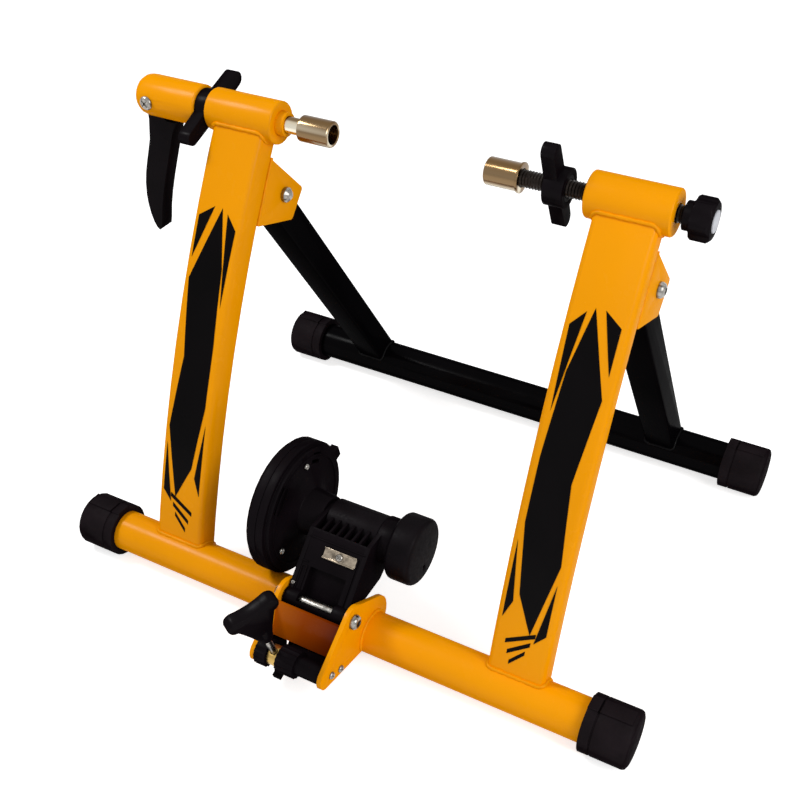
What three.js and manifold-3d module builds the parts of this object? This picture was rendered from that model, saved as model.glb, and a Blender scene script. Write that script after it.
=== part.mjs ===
// Folding turbo trainer for a bicycle's rear wheel: two tubular frames, two axle clamps and a magnetic roller.
// Millimetres. X runs to the right along the tubes, Y to the rear, Z up.
import * as THREE from "three";
import { mergeVertices } from "three/addons/utils/BufferGeometryUtils.js";
import Module from "manifold-3d";

const wasm = await Module();
wasm.setup();

// Clearances, cutting and facets
const gap = 0.3;
const runningGap = 0.6;
const overrun = 3;
const weldDistance = 0.001;
const fineSides = 36;
const tubeSides = 24;
const midSides = 16;
const smallSides = 12;
const cornerSteps = 3;
const rightAngle = Math.PI / 2;

// Round tubes and their rubber feet
const tubeRadius = 19;
const tubeWall = 1.6;
const stanceHalfWidth = 275;
const frontTubeY = -183;
const rearTubeY = 183;
const footRadius = 25;
const footLength = 40;
const footEndWall = 5;
const footFlatDepth = 0.5;
const footEdgeRound = 3;
const footRidgeWidth = 14;
const footRidgeHeight = 0.9;
const footSlitWidth = 1.4;
const footSlitDepth = 0.9;
const footSlitFromMouth = 9;
const tubeHeight = footRadius - footFlatDepth;

// Uprights
const uprightX = 170;
const uprightWidth = 50;
const uprightDepth = 25;
const uprightWall = 2;
const uprightCorner = 5;
const uprightFootOffset = 5.4;
const uprightBend = 0.295;
const uprightSteps = 10;

// Clamp barrels at the top of the uprights
const clampY = -14.7;
const clampHeight = 389;
const barrelRadius = 18;
const barrelInnerX = 136.5;
const barrelOuterX = 203.2;
const barrelEdge = 1;

// Hinge brackets and folding legs
const hingeBelowClamp = 56.7;
const hingePivotBehind = 30.5;
const cheekThickness = 3;
const cheekRise = 26;
const cheekDrop = 31;
const cheekCornerRadius = 3.5;
const cheekUpperAlong = 6.5;
const cheekUpperBehind = 23.5;
const cheekLowerDrop = 17.5;
const cheekLowerBehind = 18.5;
const legWidth = 29.5;
const legDepth = 28;
const legWall = 1.6;
const legCorner = 3;
const legFootOffset = 5;
const bushRadius = 8;
const foldBoltRadius = 4;
const boltHeadRadius = 6.8;
const boltHeadHeight = 5.2;
const nutRadius = 6.8;
const nutHeight = 6.4;

// Bracket on the front tube that holds the roller unit
const armEarGap = 1.5;
const earThickness = 4;
const earPivotRadius = 14;
const earNoseRadius = 10.8;
const earRearRadius = 22.5;
const earRearOffset = 4;
const earRearRise = 10.5;
const webTopY = -226;
const webTopZ = 69;
const webBottomY = -237.2;
const webBottomZ = 40;
const webThickness = 3.5;
const pivotY = -211;
const pivotZ = 64;
const armBoltRadius = 3;

// Adjuster: block between the ears, brass nut, screw and knob
const noseY = -254;
const noseZ = 38;
const adjusterX = -15;
const adjusterAngle = 0.3153;
const lobeRadius = 12.2;
const lobeRidgeDepth = 0.9;
const lobeRidgeCount = 18;
const lobeSlotHalfWidth = 5;
const lobeRightInset = 23.5;
const blockBodyRadius = 8.5;
const lugAngle = -0.41;
const lugLength = 24;
const lugHalfHeight = 6.5;
const blockScrewOneBack = 6;
const blockScrewTwoBack = 21;
const blockScrewRadius = 2;
const blockScrewLength = 7;
const smallHeadRadius = 3.3;
const smallHeadHeight = 1.8;
const brassNutRadius = 9;
const brassStubRadius = 4;
const brassStubLength = 5;
const adjusterRodRadius = 3;
const adjusterRodBelow = 19;
const knobStemAbove = 37;
const knobStemRadius = 7;
const knobStemLength = 8;
const knobLength = 50;
const knobHalfSpan = 23;
const knobTipHalf = 7.5;
const knobFill = 0.75;
const knobThickness = 13;
const knobAngle = 1.06;
const knobRoundSteps = 2;
const knobCurveSteps = 6;
const knobSocketDepth = 20;

// Roller arm
const armHalfWidth = 29.5;
const armPlate = 4;
const armBossRadius = 9;
const armSleeveRadius = 4.5;
const armFrontBottomY = -219;
const armFrontBottomZ = 60;
const armBendY = -170;
const armBendZ = 110;
const armTopY = -156;
const armUndersideZ = 63;
const armUndersideFrontY = -203;
const armUndersideRearY = -157;
const armFrontThickness = 11;
const armPocketFloor = 4;
const armPocketLeftWall = 8.5;
const armPocketRightWall = 7.5;
const armPocketFrom = 6;
const armPocketTo = 38;
const sleeveWindowFrom = 7.5;
const sleeveWindowHalf = 17;
const armLadderRibs = 6;
const armRib = 2.2;
const clipFrom = 48.5;
const clipWidth = 31;
const clipHeight = 10;
const clipThickness = 1.4;
const clipCentreX = 6.5;
const clipLip = 2.6;
const heelHalfWidth = 3.6;
const heelThickness = 5;
const heelKneeY = -221;
const heelKneeZ = 31;
const heelKneeRadius = 6.5;
const padFront = 11;
const padRear = 7.5;

// Roller, flywheel and magnet unit, all on one axle
const axleY = -139.3;
const axleZ = 93.6;
const axleRadius = 5;
const rollerRadius = 20;
const rollerEndGap = 0.7;
const bearingRadius = 13;
const bearingWidth = 8;
const bearingInset = 1.5;
const neckRadius = 21;
const neckLength = 9.2;
const flywheelRadius = 30;
const flywheelGap = 0.8;
const flywheelWidth = 23.5;
const flywheelEdge = 2.5;
const flywheelHoleRadius = 2.2;
const flywheelHoleOut = 17;
const flywheelHoleDepth = 8;
const housingRadius = 61.4;
const housingWall = 2.6;
const housingHubLength = 26.5;
const housingInnerWidth = 11.4;
const housingOuterWidth = 11.6;
const housingStep = 4;
const housingHubRadius = 22;
const housingTabOut = 7;
const housingTabWidth = 12;
const tabAngle = -1.31;
const ventWidth = 3.6;
const ventInset = 10.5;
const ventSpacing = 6.5;
const longVent = 24;
const shortVent = 13;
const longVentAngle = 2.35;
const shortVentAngle = 1.05;
const coneScrewGap = 9.5;
const coneLength = 6;
const housingScrewInset = 17;
const screwBossRadius = 3.6;
const housingScrewLength = 8;
const coverScrewRadius = 1.5;
const coverScrewHead = 2.8;
const coverScrewAngle = -2.76;
const coverScrewCount = 3;
const discEdgeGap = 1.9;
const discThickness = 5;
const discGap = 1;
const discHubRadius = 12;
const magnetPlateEdgeGap = 0.9;
const magnetPlateWidth = 20;
const magnetPlateThickness = 2.5;
const magnetRadius = 6.5;
const magnetThickness = 3;
const magnetCount = 6;

// Left clamp: lever housing, cam lever, plunger and cup
const housingTubeRadius = 17.8;
const sleeveLeftX = -281;
const sleeveRightX = -215;
const sleeveRound = 11;
const sleeveRoundSteps = 4;
const sleeveSlotRightX = -240;
const sleeveRoof = 5.6;
const leverPivotX = -264;
const leverThickness = 15;
const camRadius = 10;
const camOffset = 2;
const leverBoltRadius = 3;
const leverHeadRadius = 6;
const leverHeadHeight = 3;
const leverDrop = 131;
const threadTubeRadius = 10;
const threadTubeEndX = -129.5;
const springRadius = 8.9;
const springWire = 0.8;
const springTurns = 6;
const springSteps = 8;
const springSides = 5;
const springGapPoints = 240;
const springPocketRadius = 10.4;
const springPocketEndX = -219;
const plungerTravel = 4.3;
const plungerRadius = 7;
const plungerHeadRadius = 9;
const cupRadius = 11;
const cupBore = 8;
const cupDepth = 18;
const cupLength = 29;
const cupSocket = 8;
const leftCupX = -86;

// Lock nuts with two wings
const lockNutHubRadius = 15.5;
const lockNutThickness = 11;
const lockNutHalfSpan = 43;
const lockNutTipHalf = 6.5;
const leftNutAngle = -1.19;
const rightNutAngle = 0.42;
const rightNutX = 103.5;
const rightNutHubLength = 16;
const insertRadius = 10.5;

// Right clamp: screw, cup and lobed knob
const screwRadius = 7;
const threadPitch = 2.5;
const threadDepth = 0.8;
const rightCupX = 53;
const knobBarrelGap = 5.6;
const knobNeckRadius = 11;
const knobNeckLength = 6;
const gripRadius = 15.1;
const gripLobeRadius = 2.6;
const gripLobes = 6;
const gripLength = 15.5;
const gripChamfer = 2.6;
const gripCapRadius = 8.5;
const gripCapThickness = 2;
const gripCapProud = 0.7;
const gripSocketDepth = 14;

// Finishes
const finish = (color, roughness, metalness = 0) =>
  new THREE.MeshStandardMaterial({ color, roughness, metalness });
const yellowEnamel = () => finish(0xf7a600, 0.28);
const blackEnamel = () => finish(0x121214, 0.3);
const blackPlastic = () => finish(0x1b1b1d, 0.55);
const rubber = () => finish(0x1a1a1a, 0.75);
const zincSteel = () => finish(0xb9b8b2, 0.35, 1);
const nickelSteel = () => finish(0xcfc3ab, 0.15, 1);
const blackSteel = () => finish(0x242426, 0.45, 0.6);
const brass = () => finish(0xb08d3c, 0.35, 1);
const aluminium = () => finish(0xc4c6c8, 0.4, 1);
const whitePlastic = () => finish(0xeeeeea, 0.4);
const magnetSteel = () => finish(0x77787a, 0.4, 1);

// Closed solids from plain shapes
function toSolid(geometry) {
  const bare = geometry.clone();
  for (const name of Object.keys(bare.attributes)) {
    if (name !== "position") bare.deleteAttribute(name);
  }
  const welded = mergeVertices(bare, weldDistance);
  const vertProperties = new Float32Array(welded.attributes.position.array);
  const triVerts = new Uint32Array(welded.index.array);
  return new wasm.Manifold(new wasm.Mesh({ numProp: 3, vertProperties, triVerts }));
}

function toGeometry(solid) {
  const mesh = solid.getMesh();
  const geometry = new THREE.BufferGeometry();
  geometry.setAttribute("position", new THREE.BufferAttribute(new Float32Array(mesh.vertProperties), 3));
  geometry.setIndex(new THREE.BufferAttribute(new Uint32Array(mesh.triVerts), 1));
  geometry.computeVertexNormals();
  return geometry;
}

const joined = (solids) => solids.reduce((whole, piece) => whole.add(piece));
const cut = (solid, cutters) => cutters.reduce((whole, cutter) => whole.subtract(cutter), solid);

function box(x0, x1, y0, y1, z0, z1) {
  const geometry = new THREE.BoxGeometry(x1 - x0, y1 - y0, z1 - z0);
  geometry.translate((x0 + x1) / 2, (y0 + y1) / 2, (z0 + z1) / 2);
  return toSolid(geometry);
}

// A rod along X between two places, with its axis at y, z
function rodX(radius, x0, x1, y = 0, z = 0, sides = midSides) {
  const geometry = new THREE.CylinderGeometry(radius, radius, x1 - x0, sides);
  geometry.rotateZ(-rightAngle);
  geometry.translate((x0 + x1) / 2, y, z);
  return toSolid(geometry);
}

function rodY(radius, y0, y1, x = 0, z = 0, sides = smallSides) {
  const geometry = new THREE.CylinderGeometry(radius, radius, y1 - y0, sides);
  geometry.translate(x, (y0 + y1) / 2, z);
  return toSolid(geometry);
}

// A rod along Z before it is turned into place
function rodZ(radius, z0, z1, sides = smallSides) {
  const geometry = new THREE.CylinderGeometry(radius, radius, z1 - z0, sides);
  geometry.rotateX(rightAngle);
  geometry.translate(0, 0, (z0 + z1) / 2);
  return toSolid(geometry);
}

const signedArea = (points) =>
  points.reduce((sum, [u, v], i) => {
    const [un, vn] = points[(i + 1) % points.length];
    return sum + (u * vn - un * v) / 2;
  }, 0);

// A turned piece about X: the profile is a list of [x, radius]
function latheX(profile, y = 0, z = 0, sides = midSides) {
  const loop = profile.map(([x, radius]) => [radius, x]);
  if (signedArea(loop) < 0) loop.reverse();
  const onAxis = ([radius]) => Math.abs(radius) < weldDistance;
  const firstOnAxis = loop.findIndex((point, i) => onAxis(point) && onAxis(loop.at(i - 1)));
  const start = firstOnAxis < 0 ? 0 : firstOnAxis;
  const ordered = [...loop.slice(start), ...loop.slice(0, start)];
  if (firstOnAxis < 0) ordered.push(ordered[0]);
  const geometry = new THREE.LatheGeometry(ordered.map(([r, h]) => new THREE.Vector2(r, h)), sides);
  geometry.rotateZ(-rightAngle);
  geometry.translate(0, y, z);
  return toSolid(geometry);
}

// Flat plates: outlines of [y, z] pushed along X, and outlines of [x, z] pushed along Y
function plate(points, depth, holes = []) {
  const shape = new THREE.Shape(points.map(([u, v]) => new THREE.Vector2(u, v)));
  for (const hole of holes) shape.holes.push(new THREE.Path(hole.map(([u, v]) => new THREE.Vector2(u, v))));
  return new THREE.ExtrudeGeometry(shape, { depth, bevelEnabled: false });
}

function plateX(points, x0, x1) {
  const geometry = plate(points, x1 - x0);
  const basis = new THREE.Matrix4().makeBasis(
    new THREE.Vector3(0, 1, 0), new THREE.Vector3(0, 0, 1), new THREE.Vector3(1, 0, 0));
  geometry.applyMatrix4(basis);
  geometry.translate(x0, 0, 0);
  return toSolid(geometry);
}

function plateY(points, y0, y1) {
  const geometry = plate(points, y1 - y0);
  geometry.rotateX(rightAngle);
  geometry.translate(0, y1, 0);
  return toSolid(geometry);
}

const circle = (u, v, radius, sides = midSides) =>
  Array.from({ length: sides }, (_, i) => {
    const angle = (2 * Math.PI * i) / sides;
    return [u + radius * Math.cos(angle), v + radius * Math.sin(angle)];
  });

// The tight band around a set of points
function hull(points) {
  const sorted = [...points].sort((p, q) => p[0] - q[0] || p[1] - q[1]);
  const turn = (o, p, q) => (p[0] - o[0]) * (q[1] - o[1]) - (p[1] - o[1]) * (q[0] - o[0]);
  const half = (list) => {
    const chain = [];
    for (const point of list) {
      while (chain.length > 1 && turn(chain.at(-2), chain.at(-1), point) <= 0) chain.pop();
      chain.push(point);
    }
    chain.pop();
    return chain;
  };
  return [...half(sorted), ...half(sorted.reverse())];
}

function roundedRectangle(width, height, radius) {
  const points = [];
  const corners = [[1, -1], [1, 1], [-1, 1], [-1, -1]];
  corners.forEach(([sx, sy], index) => {
    for (let i = 0; i <= cornerSteps; i += 1) {
      const angle = rightAngle * (index - 1 + i / cornerSteps);
      points.push([
        sx * (width / 2 - radius) + radius * Math.cos(angle),
        sy * (height / 2 - radius) + radius * Math.sin(angle)]);
    }
  });
  return points;
}

function addPart(group, name, solid, material) {
  const mesh = new THREE.Mesh(toGeometry(solid), material);
  mesh.name = name;
  group.add(mesh);
  return mesh;
}

// Places that follow the sizes above
const earInner = armHalfWidth + armEarGap;
const earHalfWidth = earInner + earThickness;
const armInner = armHalfWidth - armPlate;
const lobeRightEnd = earInner - lobeRightInset;
const neckEndX = armHalfWidth + neckLength;
const flywheelStartX = neckEndX + flywheelGap;
const flywheelEndX = flywheelStartX + flywheelWidth;
const housingRightX = -armHalfWidth - housingHubLength;
const housingJoinX = housingRightX - housingInnerWidth;
const housingLeftX = housingJoinX - housingOuterWidth;
const housingScrewOut = housingRadius - housingScrewInset;
const bossInner = housingScrewOut - screwBossRadius;
const knobNeckX = barrelOuterX + knobBarrelGap;

const sideWord = (side) => (side < 0 ? "left" : "right");
const mirrorTo = (solid, side) => (side < 0 ? solid.mirror([1, 0, 0]) : solid);

// Upright: a gentle arc from the front tube to the barrel's axis
const uprightFoot = new THREE.Vector2(frontTubeY + uprightFootOffset, tubeHeight);
const uprightHead = new THREE.Vector2(clampY, clampHeight);
const uprightChord = uprightHead.clone().sub(uprightFoot);
const chordLean = Math.atan2(uprightChord.x, uprightChord.y);
const arcRadius = uprightChord.length() / (2 * Math.sin(uprightBend / 2));
const arcLength = arcRadius * uprightBend;

const uprightLean = (along) => chordLean + (uprightBend * (along - arcLength / 2)) / arcLength;

// Place on the centreline after a length along the arc, as y and z
function uprightPlace(along) {
  const footLean = uprightLean(0);
  const lean = uprightLean(along);
  return new THREE.Vector2(
    uprightFoot.x + arcRadius * (Math.cos(footLean) - Math.cos(lean)),
    uprightFoot.y + arcRadius * (Math.sin(lean) - Math.sin(footLean)));
}

class UprightArc extends THREE.Curve {
  getPoint(share) {
    const place = uprightPlace(share * arcLength);
    return new THREE.Vector3(uprightX, place.x, place.y);
  }
}

// The fold pivot sits behind the upright's back face
const hingeAlong = arcLength - hingeBelowClamp;
const hingeLean = uprightLean(hingeAlong);
const hingeBase = uprightPlace(hingeAlong);
const hingeOut = uprightDepth / 2 + hingePivotBehind;
const foldPivot = new THREE.Vector2(
  hingeBase.x + hingeOut * Math.cos(hingeLean),
  hingeBase.y - hingeOut * Math.sin(hingeLean));

// From lengths along and behind the upright, counted at the fold pivot, to y and z
const atHinge = ([along, behind]) => [
  foldPivot.x + along * Math.sin(hingeLean) + behind * Math.cos(hingeLean),
  foldPivot.y + along * Math.cos(hingeLean) - behind * Math.sin(hingeLean)];

function hollowTube(halfLength, y, z) {
  return rodX(tubeRadius, -halfLength, halfLength, y, z, tubeSides)
    .subtract(rodX(tubeRadius - tubeWall, -halfLength - overrun, halfLength + overrun, y, z, tubeSides));
}

const tubeHalfLength = stanceHalfWidth - footEndWall - gap;
const tubeCutter = (y) =>
  rodX(tubeRadius + gap, -stanceHalfWidth - overrun, stanceHalfWidth + overrun, y, tubeHeight, tubeSides);

function upright() {
  const outer = roundedRectangle(uprightWidth, uprightDepth, uprightCorner);
  const inner = roundedRectangle(
    uprightWidth - 2 * uprightWall, uprightDepth - 2 * uprightWall, uprightCorner - uprightWall);
  const shape = new THREE.Shape(outer.map(([u, v]) => new THREE.Vector2(u, v)));
  shape.holes.push(new THREE.Path(inner.map(([u, v]) => new THREE.Vector2(u, v))));
  const swept = new THREE.ExtrudeGeometry(shape, { steps: uprightSteps, extrudePath: new UprightArc() });
  const barrelCutter = rodX(barrelRadius + gap, 0, stanceHalfWidth, clampY, clampHeight, tubeSides);
  return cut(toSolid(swept), [tubeCutter(frontTubeY), barrelCutter]);
}

function barrel(boreRadius) {
  return latheX([
    [barrelInnerX, boreRadius], [barrelInnerX, barrelRadius - barrelEdge],
    [barrelInnerX + barrelEdge, barrelRadius], [barrelOuterX - barrelEdge, barrelRadius],
    [barrelOuterX, barrelRadius - barrelEdge], [barrelOuterX, boreRadius],
  ], clampY, clampHeight, tubeSides);
}

// Channel of two cheeks and a web, open to the rear and below
function hingeBracket() {
  const arcSag = cheekDrop ** 2 / (2 * arcRadius);
  const webFace = -hingePivotBehind + gap + arcSag;
  const outline = hull([
    [-cheekDrop, webFace], [cheekRise, webFace],
    ...circle(cheekUpperAlong, cheekUpperBehind, cheekCornerRadius),
    ...circle(-cheekLowerDrop, cheekLowerBehind, cheekCornerRadius),
  ]).map(atHinge);
  const channel = [
    [-cheekDrop - cheekRise, webFace + cheekThickness], [2 * cheekRise, webFace + cheekThickness],
    [2 * cheekRise, cheekDrop + cheekRise], [-cheekDrop - cheekRise, cheekDrop + cheekRise],
  ].map(atHinge);
  const half = uprightWidth / 2;
  const [x0, x1] = [uprightX - half, uprightX + half];
  const hole = rodX(foldBoltRadius + gap, x0 - overrun, x1 + overrun, foldPivot.x, foldPivot.y, smallSides);
  return cut(plateX(outline, x0, x1), [plateX(channel, x0 + cheekThickness, x1 - cheekThickness), hole]);
}

const legFoot = new THREE.Vector2(rearTubeY + legFootOffset, tubeHeight);
const legSpan = legFoot.clone().sub(foldPivot);
const legAngle = Math.atan2(legSpan.x, -legSpan.y);

// Square tube from the fold pivot down to the rear tube, its upper end rounded about the pivot
function leg() {
  const outer = roundedRectangle(legWidth, legDepth, legCorner);
  const inner = roundedRectangle(legWidth - 2 * legWall, legDepth - 2 * legWall, legCorner - legWall);
  const reach = legSpan.length();
  const geometry = plate(outer, reach + legDepth / 2, [inner]);
  geometry.translate(0, 0, -reach);
  const roundEnd = [
    ...circle(0, 0, legDepth / 2, tubeSides), [-legDepth / 2, -2 * reach], [legDepth / 2, -2 * reach]];
  const rounding = plateX(hull(roundEnd), -legWidth, legWidth);
  const crossHole = rodX(bushRadius + gap, -legWidth, legWidth, 0, 0, midSides);
  return toSolid(geometry)
    .intersect(rounding)
    .subtract(crossHole)
    .rotate([(legAngle * 180) / Math.PI, 0, 0])
    .translate([uprightX, foldPivot.x, foldPivot.y])
    .subtract(tubeCutter(rearTubeY));
}

function foldBush() {
  const half = uprightWidth / 2 - cheekThickness - gap;
  return rodX(bushRadius, -half, half, 0, 0, midSides)
    .subtract(rodX(foldBoltRadius + gap, -half - overrun, half + overrun, 0, 0, smallSides));
}

// Domed bolt along X: the head starts at x = 0 and the shank runs to minus its length
function domedBolt(shankRadius, shankLength, headRadius, headHeight) {
  const half = headHeight / 2;
  return latheX([
    [-shankLength, 0], [-shankLength, shankRadius], [gap, shankRadius], [gap, headRadius],
    [gap + half, headRadius], [gap + headHeight, headRadius / 2], [gap + headHeight, 0],
  ], 0, 0, smallSides);
}

// Domed nut on the end of a shank, open towards the shank
function domedNut(shankRadius, radius, height) {
  const half = height / 2;
  const floor = height - shankRadius / 2;
  return latheX([
    [gap, shankRadius + gap], [gap, radius], [gap + half, radius], [gap + height, radius / 2],
    [gap + height, 0], [floor, 0], [floor, shankRadius + gap],
  ], 0, 0, smallSides);
}

// Rubber foot: a cup over the tube's end, flat where it stands; it is closed at x = 0 and opens to minus X
function foot() {
  const bore = tubeRadius + gap;
  const cup = latheX([
    [-footLength, bore], [-footLength, footRadius], [-footEdgeRound, footRadius],
    [-footEdgeRound / 3, footRadius - footEdgeRound / 3], [0, footRadius - footEdgeRound], [0, 0],
    [-footEndWall, 0], [-footEndWall, bore],
  ], 0, 0, tubeSides);
  const ridge = box(
    -footLength, -footEdgeRound, -footRidgeWidth / 2, footRidgeWidth / 2,
    bore + footEdgeRound, footRadius + footRidgeHeight);
  const slit = latheX([
    [-footLength + footSlitFromMouth, footRadius - footSlitDepth],
    [-footLength + footSlitFromMouth, footRadius + overrun],
    [-footLength + footSlitFromMouth + footSlitWidth, footRadius + overrun],
    [-footLength + footSlitFromMouth + footSlitWidth, footRadius - footSlitDepth],
  ], 0, 0, tubeSides);
  const under = box(
    -footLength - overrun, overrun, -footRadius, footRadius, -footRadius - overrun, -tubeHeight);
  return cut(cup.add(ridge), [slit, under]);
}

// U-shaped bracket on the front tube: two ears and a web
function earOutline() {
  return hull([
    ...circle(pivotY, pivotZ, earPivotRadius),
    ...circle(noseY, noseZ, earNoseRadius),
    ...circle(frontTubeY + earRearOffset, tubeHeight + earRearRise, earRearRadius, tubeSides),
  ]);
}

// Screws that hold the adjuster blocks to the ears, counted back from the nose
const blockScrewPlace = (back) => [noseY + back * Math.cos(lugAngle), noseZ + back * Math.sin(lugAngle)];

function unitBracket() {
  const outline = earOutline();
  const ears = [-1, 1].map((side) => mirrorTo(plateX(outline, earInner, earHalfWidth), side));
  const webRun = new THREE.Vector2(webBottomY - webTopY, webBottomZ - webTopZ).normalize();
  const [backY, backZ] = [-webRun.y * webThickness, webRun.x * webThickness];
  const web = plateX([
    [webTopY, webTopZ], [webBottomY, webBottomZ],
    [webBottomY + backY, webBottomZ + backZ], [webTopY + backY, webTopZ + backZ],
  ], -earHalfWidth, earHalfWidth);
  const x1 = earHalfWidth + overrun;
  const screwHoles = [blockScrewOneBack, blockScrewTwoBack].map((back) => {
    const [y, z] = blockScrewPlace(back);
    return rodX(blockScrewRadius + gap, -x1, x1, y, z, smallSides);
  });
  const boltHole = rodX(armBoltRadius + gap, -x1, x1, pivotY, pivotZ, smallSides);
  return cut(joined([...ears, web]), [tubeCutter(frontTubeY), boltHole, ...screwHoles]);
}

// Adjuster: its axis leans forward from the vertical and passes the nose of the ears
const toDegrees = THREE.MathUtils.radToDeg;
const atAdjuster = (solid) =>
  solid.rotate([toDegrees(adjusterAngle), 0, 0]).translate([adjusterX, noseY, noseZ]);

// Knurled lobe and lug of an adjuster block between two places along X
function blockBody(lobeStart, lobeEnd, bodyStart, bodyEnd) {
  const ridges = Array.from({ length: 2 * lobeRidgeCount }, (_, i) => {
    const angle = (Math.PI * i) / lobeRidgeCount;
    const radius = lobeRadius - (i % 2) * lobeRidgeDepth;
    return [noseY + radius * Math.cos(angle), noseZ + radius * Math.sin(angle)];
  });
  const [lugY, lugZ] = blockScrewPlace(lugLength - lugHalfHeight);
  const lug = hull([...circle(noseY, noseZ, lugHalfHeight), ...circle(lugY, lugZ, lugHalfHeight)]);
  return joined([
    plateX(ridges, lobeStart, lobeEnd),
    plateX(lug, Math.min(lobeStart, bodyStart), Math.max(lobeEnd, bodyEnd)),
    rodX(blockBodyRadius, bodyStart, bodyEnd, noseY, noseZ),
  ]);
}

// Left block when side is -1, right block when side is 1; the slot between them is for the nut, screw and heel
function adjusterBlock(side) {
  const slotEdge = adjusterX + side * lobeSlotHalfWidth;
  const earFace = side * (earInner - gap);
  const socketEnd = slotEdge + side * (brassStubLength + gap);
  const body = side < 0
    ? blockBody(earFace, slotEdge, earFace, slotEdge)
    : blockBody(slotEdge, lobeRightEnd, slotEdge, earFace);
  const socket = rodX(
    brassStubRadius + gap, Math.min(slotEdge - side * overrun, socketEnd),
    Math.max(slotEdge - side * overrun, socketEnd), noseY, noseZ);
  const holeStart = earFace - side * (blockScrewLength - earThickness);
  const holes = [blockScrewOneBack, blockScrewTwoBack].map((back) => {
    const [y, z] = blockScrewPlace(back);
    const ends = [holeStart - side * gap, earFace + side * overrun];
    return rodX(blockScrewRadius + gap, Math.min(...ends), Math.max(...ends), y, z, smallSides);
  });
  return cut(body, [socket, ...holes]);
}

function brassNut() {
  const half = lobeSlotHalfWidth - gap;
  const barrelPart = rodX(brassNutRadius, adjusterX - half, adjusterX + half, noseY, noseZ);
  const stubs = rodX(
    brassStubRadius, adjusterX - half - brassStubLength, adjusterX + half + brassStubLength, noseY, noseZ);
  const hole = rodZ(adjusterRodRadius + gap, -2 * brassNutRadius, 2 * brassNutRadius);
  return barrelPart.add(stubs).subtract(atAdjuster(hole));
}

function adjusterRod() {
  return atAdjuster(rodZ(adjusterRodRadius, -adjusterRodBelow, knobStemAbove + knobSocketDepth - gap));
}

// Fan-shaped wing knob; it is turned about its stem by knobAngle
function adjusterKnob() {
  const neck = knobStemAbove + knobStemLength;
  const top = knobStemAbove + knobLength;
  const bevel = knobThickness / 5;
  const tipRadius = knobTipHalf - bevel;
  const tipX = knobHalfSpan - knobTipHalf;
  const tipY = top - knobTipHalf;
  const wingFoot = tipY - tipRadius;
  const hollowX = knobStemRadius + (tipX - knobStemRadius) * knobFill / 2;
  const hollowY = wingFoot + (neck - wingFoot) * knobFill / 2;
  const shape = new THREE.Shape();
  shape.moveTo(-knobStemRadius + bevel, neck);
  shape.lineTo(knobStemRadius - bevel, neck);
  shape.quadraticCurveTo(hollowX, hollowY, tipX, wingFoot);
  shape.absarc(tipX, tipY, tipRadius, -rightAngle, rightAngle, false);
  shape.quadraticCurveTo(0, tipY, -tipX, tipY + tipRadius);
  shape.absarc(-tipX, tipY, tipRadius, rightAngle, 3 * rightAngle, false);
  shape.quadraticCurveTo(-hollowX, hollowY, -knobStemRadius + bevel, neck);
  const fan = new THREE.ExtrudeGeometry(shape, {
    depth: knobThickness - 2 * bevel, bevelThickness: bevel, bevelSize: bevel,
    bevelSegments: knobRoundSteps, curveSegments: knobCurveSteps });
  fan.rotateX(rightAngle);
  fan.translate(0, (knobThickness - 2 * bevel) / 2, 0);
  const stem = rodZ(knobStemRadius, knobStemAbove, neck + knobStemRadius, midSides);
  const socket = rodZ(adjusterRodRadius + gap, knobStemAbove - overrun, knobStemAbove + knobSocketDepth);
  return atAdjuster(toSolid(fan).add(stem).subtract(socket).rotate([0, 0, toDegrees(knobAngle)]));
}

// Roller arm: lengths up its sloping front and depths into it, to y and z
const armFront = new THREE.Vector2(armBendY - armFrontBottomY, armBendZ - armFrontBottomZ);
const armSlope = armFront.length();
const slopeRun = armFront.clone().normalize();
const atSlope = (up, deep) => [
  armFrontBottomY + up * slopeRun.x + deep * slopeRun.y,
  armFrontBottomZ + up * slopeRun.y - deep * slopeRun.x];

// A block on the sloping front between two places along X
const slopeBlock = (x0, x1, from, to, top, bottom) =>
  plateX([atSlope(from, top), atSlope(to, top), atSlope(to, bottom), atSlope(from, bottom)], x0, x1);

// The heel's pad faces the tip of the adjuster screw
const padAlong = adjusterRodBelow + gap;
const padY = noseY + padAlong * Math.sin(adjusterAngle);
const padZ = noseZ - padAlong * Math.cos(adjusterAngle);

function heel() {
  const along = [Math.cos(adjusterAngle), Math.sin(adjusterAngle)];
  const down = [Math.sin(adjusterAngle), -Math.cos(adjusterAngle)];
  const at = (u, v) => [padY + u * along[0] + v * down[0], padZ + u * along[1] + v * down[1]];
  const knee = circle(heelKneeY, heelKneeZ, heelKneeRadius);
  const pad = [at(-padFront, 0), at(padRear, 0), at(padRear, heelThickness), at(-padFront, heelThickness)];
  const [x0, x1] = [adjusterX - heelHalfWidth, adjusterX + heelHalfWidth];
  return joined([
    plateX(pad.reverse(), x0, x1),
    plateX(hull([
      at(padRear - heelThickness, heelThickness / 2), at(padRear, 0), at(padRear, heelThickness), ...knee,
    ]), x0, x1),
    plateX(hull([...circle(pivotY, pivotZ, heelKneeRadius), ...knee]), x0, x1),
  ]);
}

function armSide(x0, x1, axleBoss) {
  return plateX(hull([
    atSlope(0, 0), [armBendY, armBendZ], [armTopY, armBendZ],
    ...circle(axleY, axleZ, axleBoss), [armUndersideRearY, armUndersideZ], [armUndersideFrontY, armUndersideZ],
    ...circle(pivotY, pivotZ, armBossRadius / 2),
  ]), x0, x1);
}

const bearingSeatStart = neckEndX - bearingInset - bearingWidth;

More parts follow.
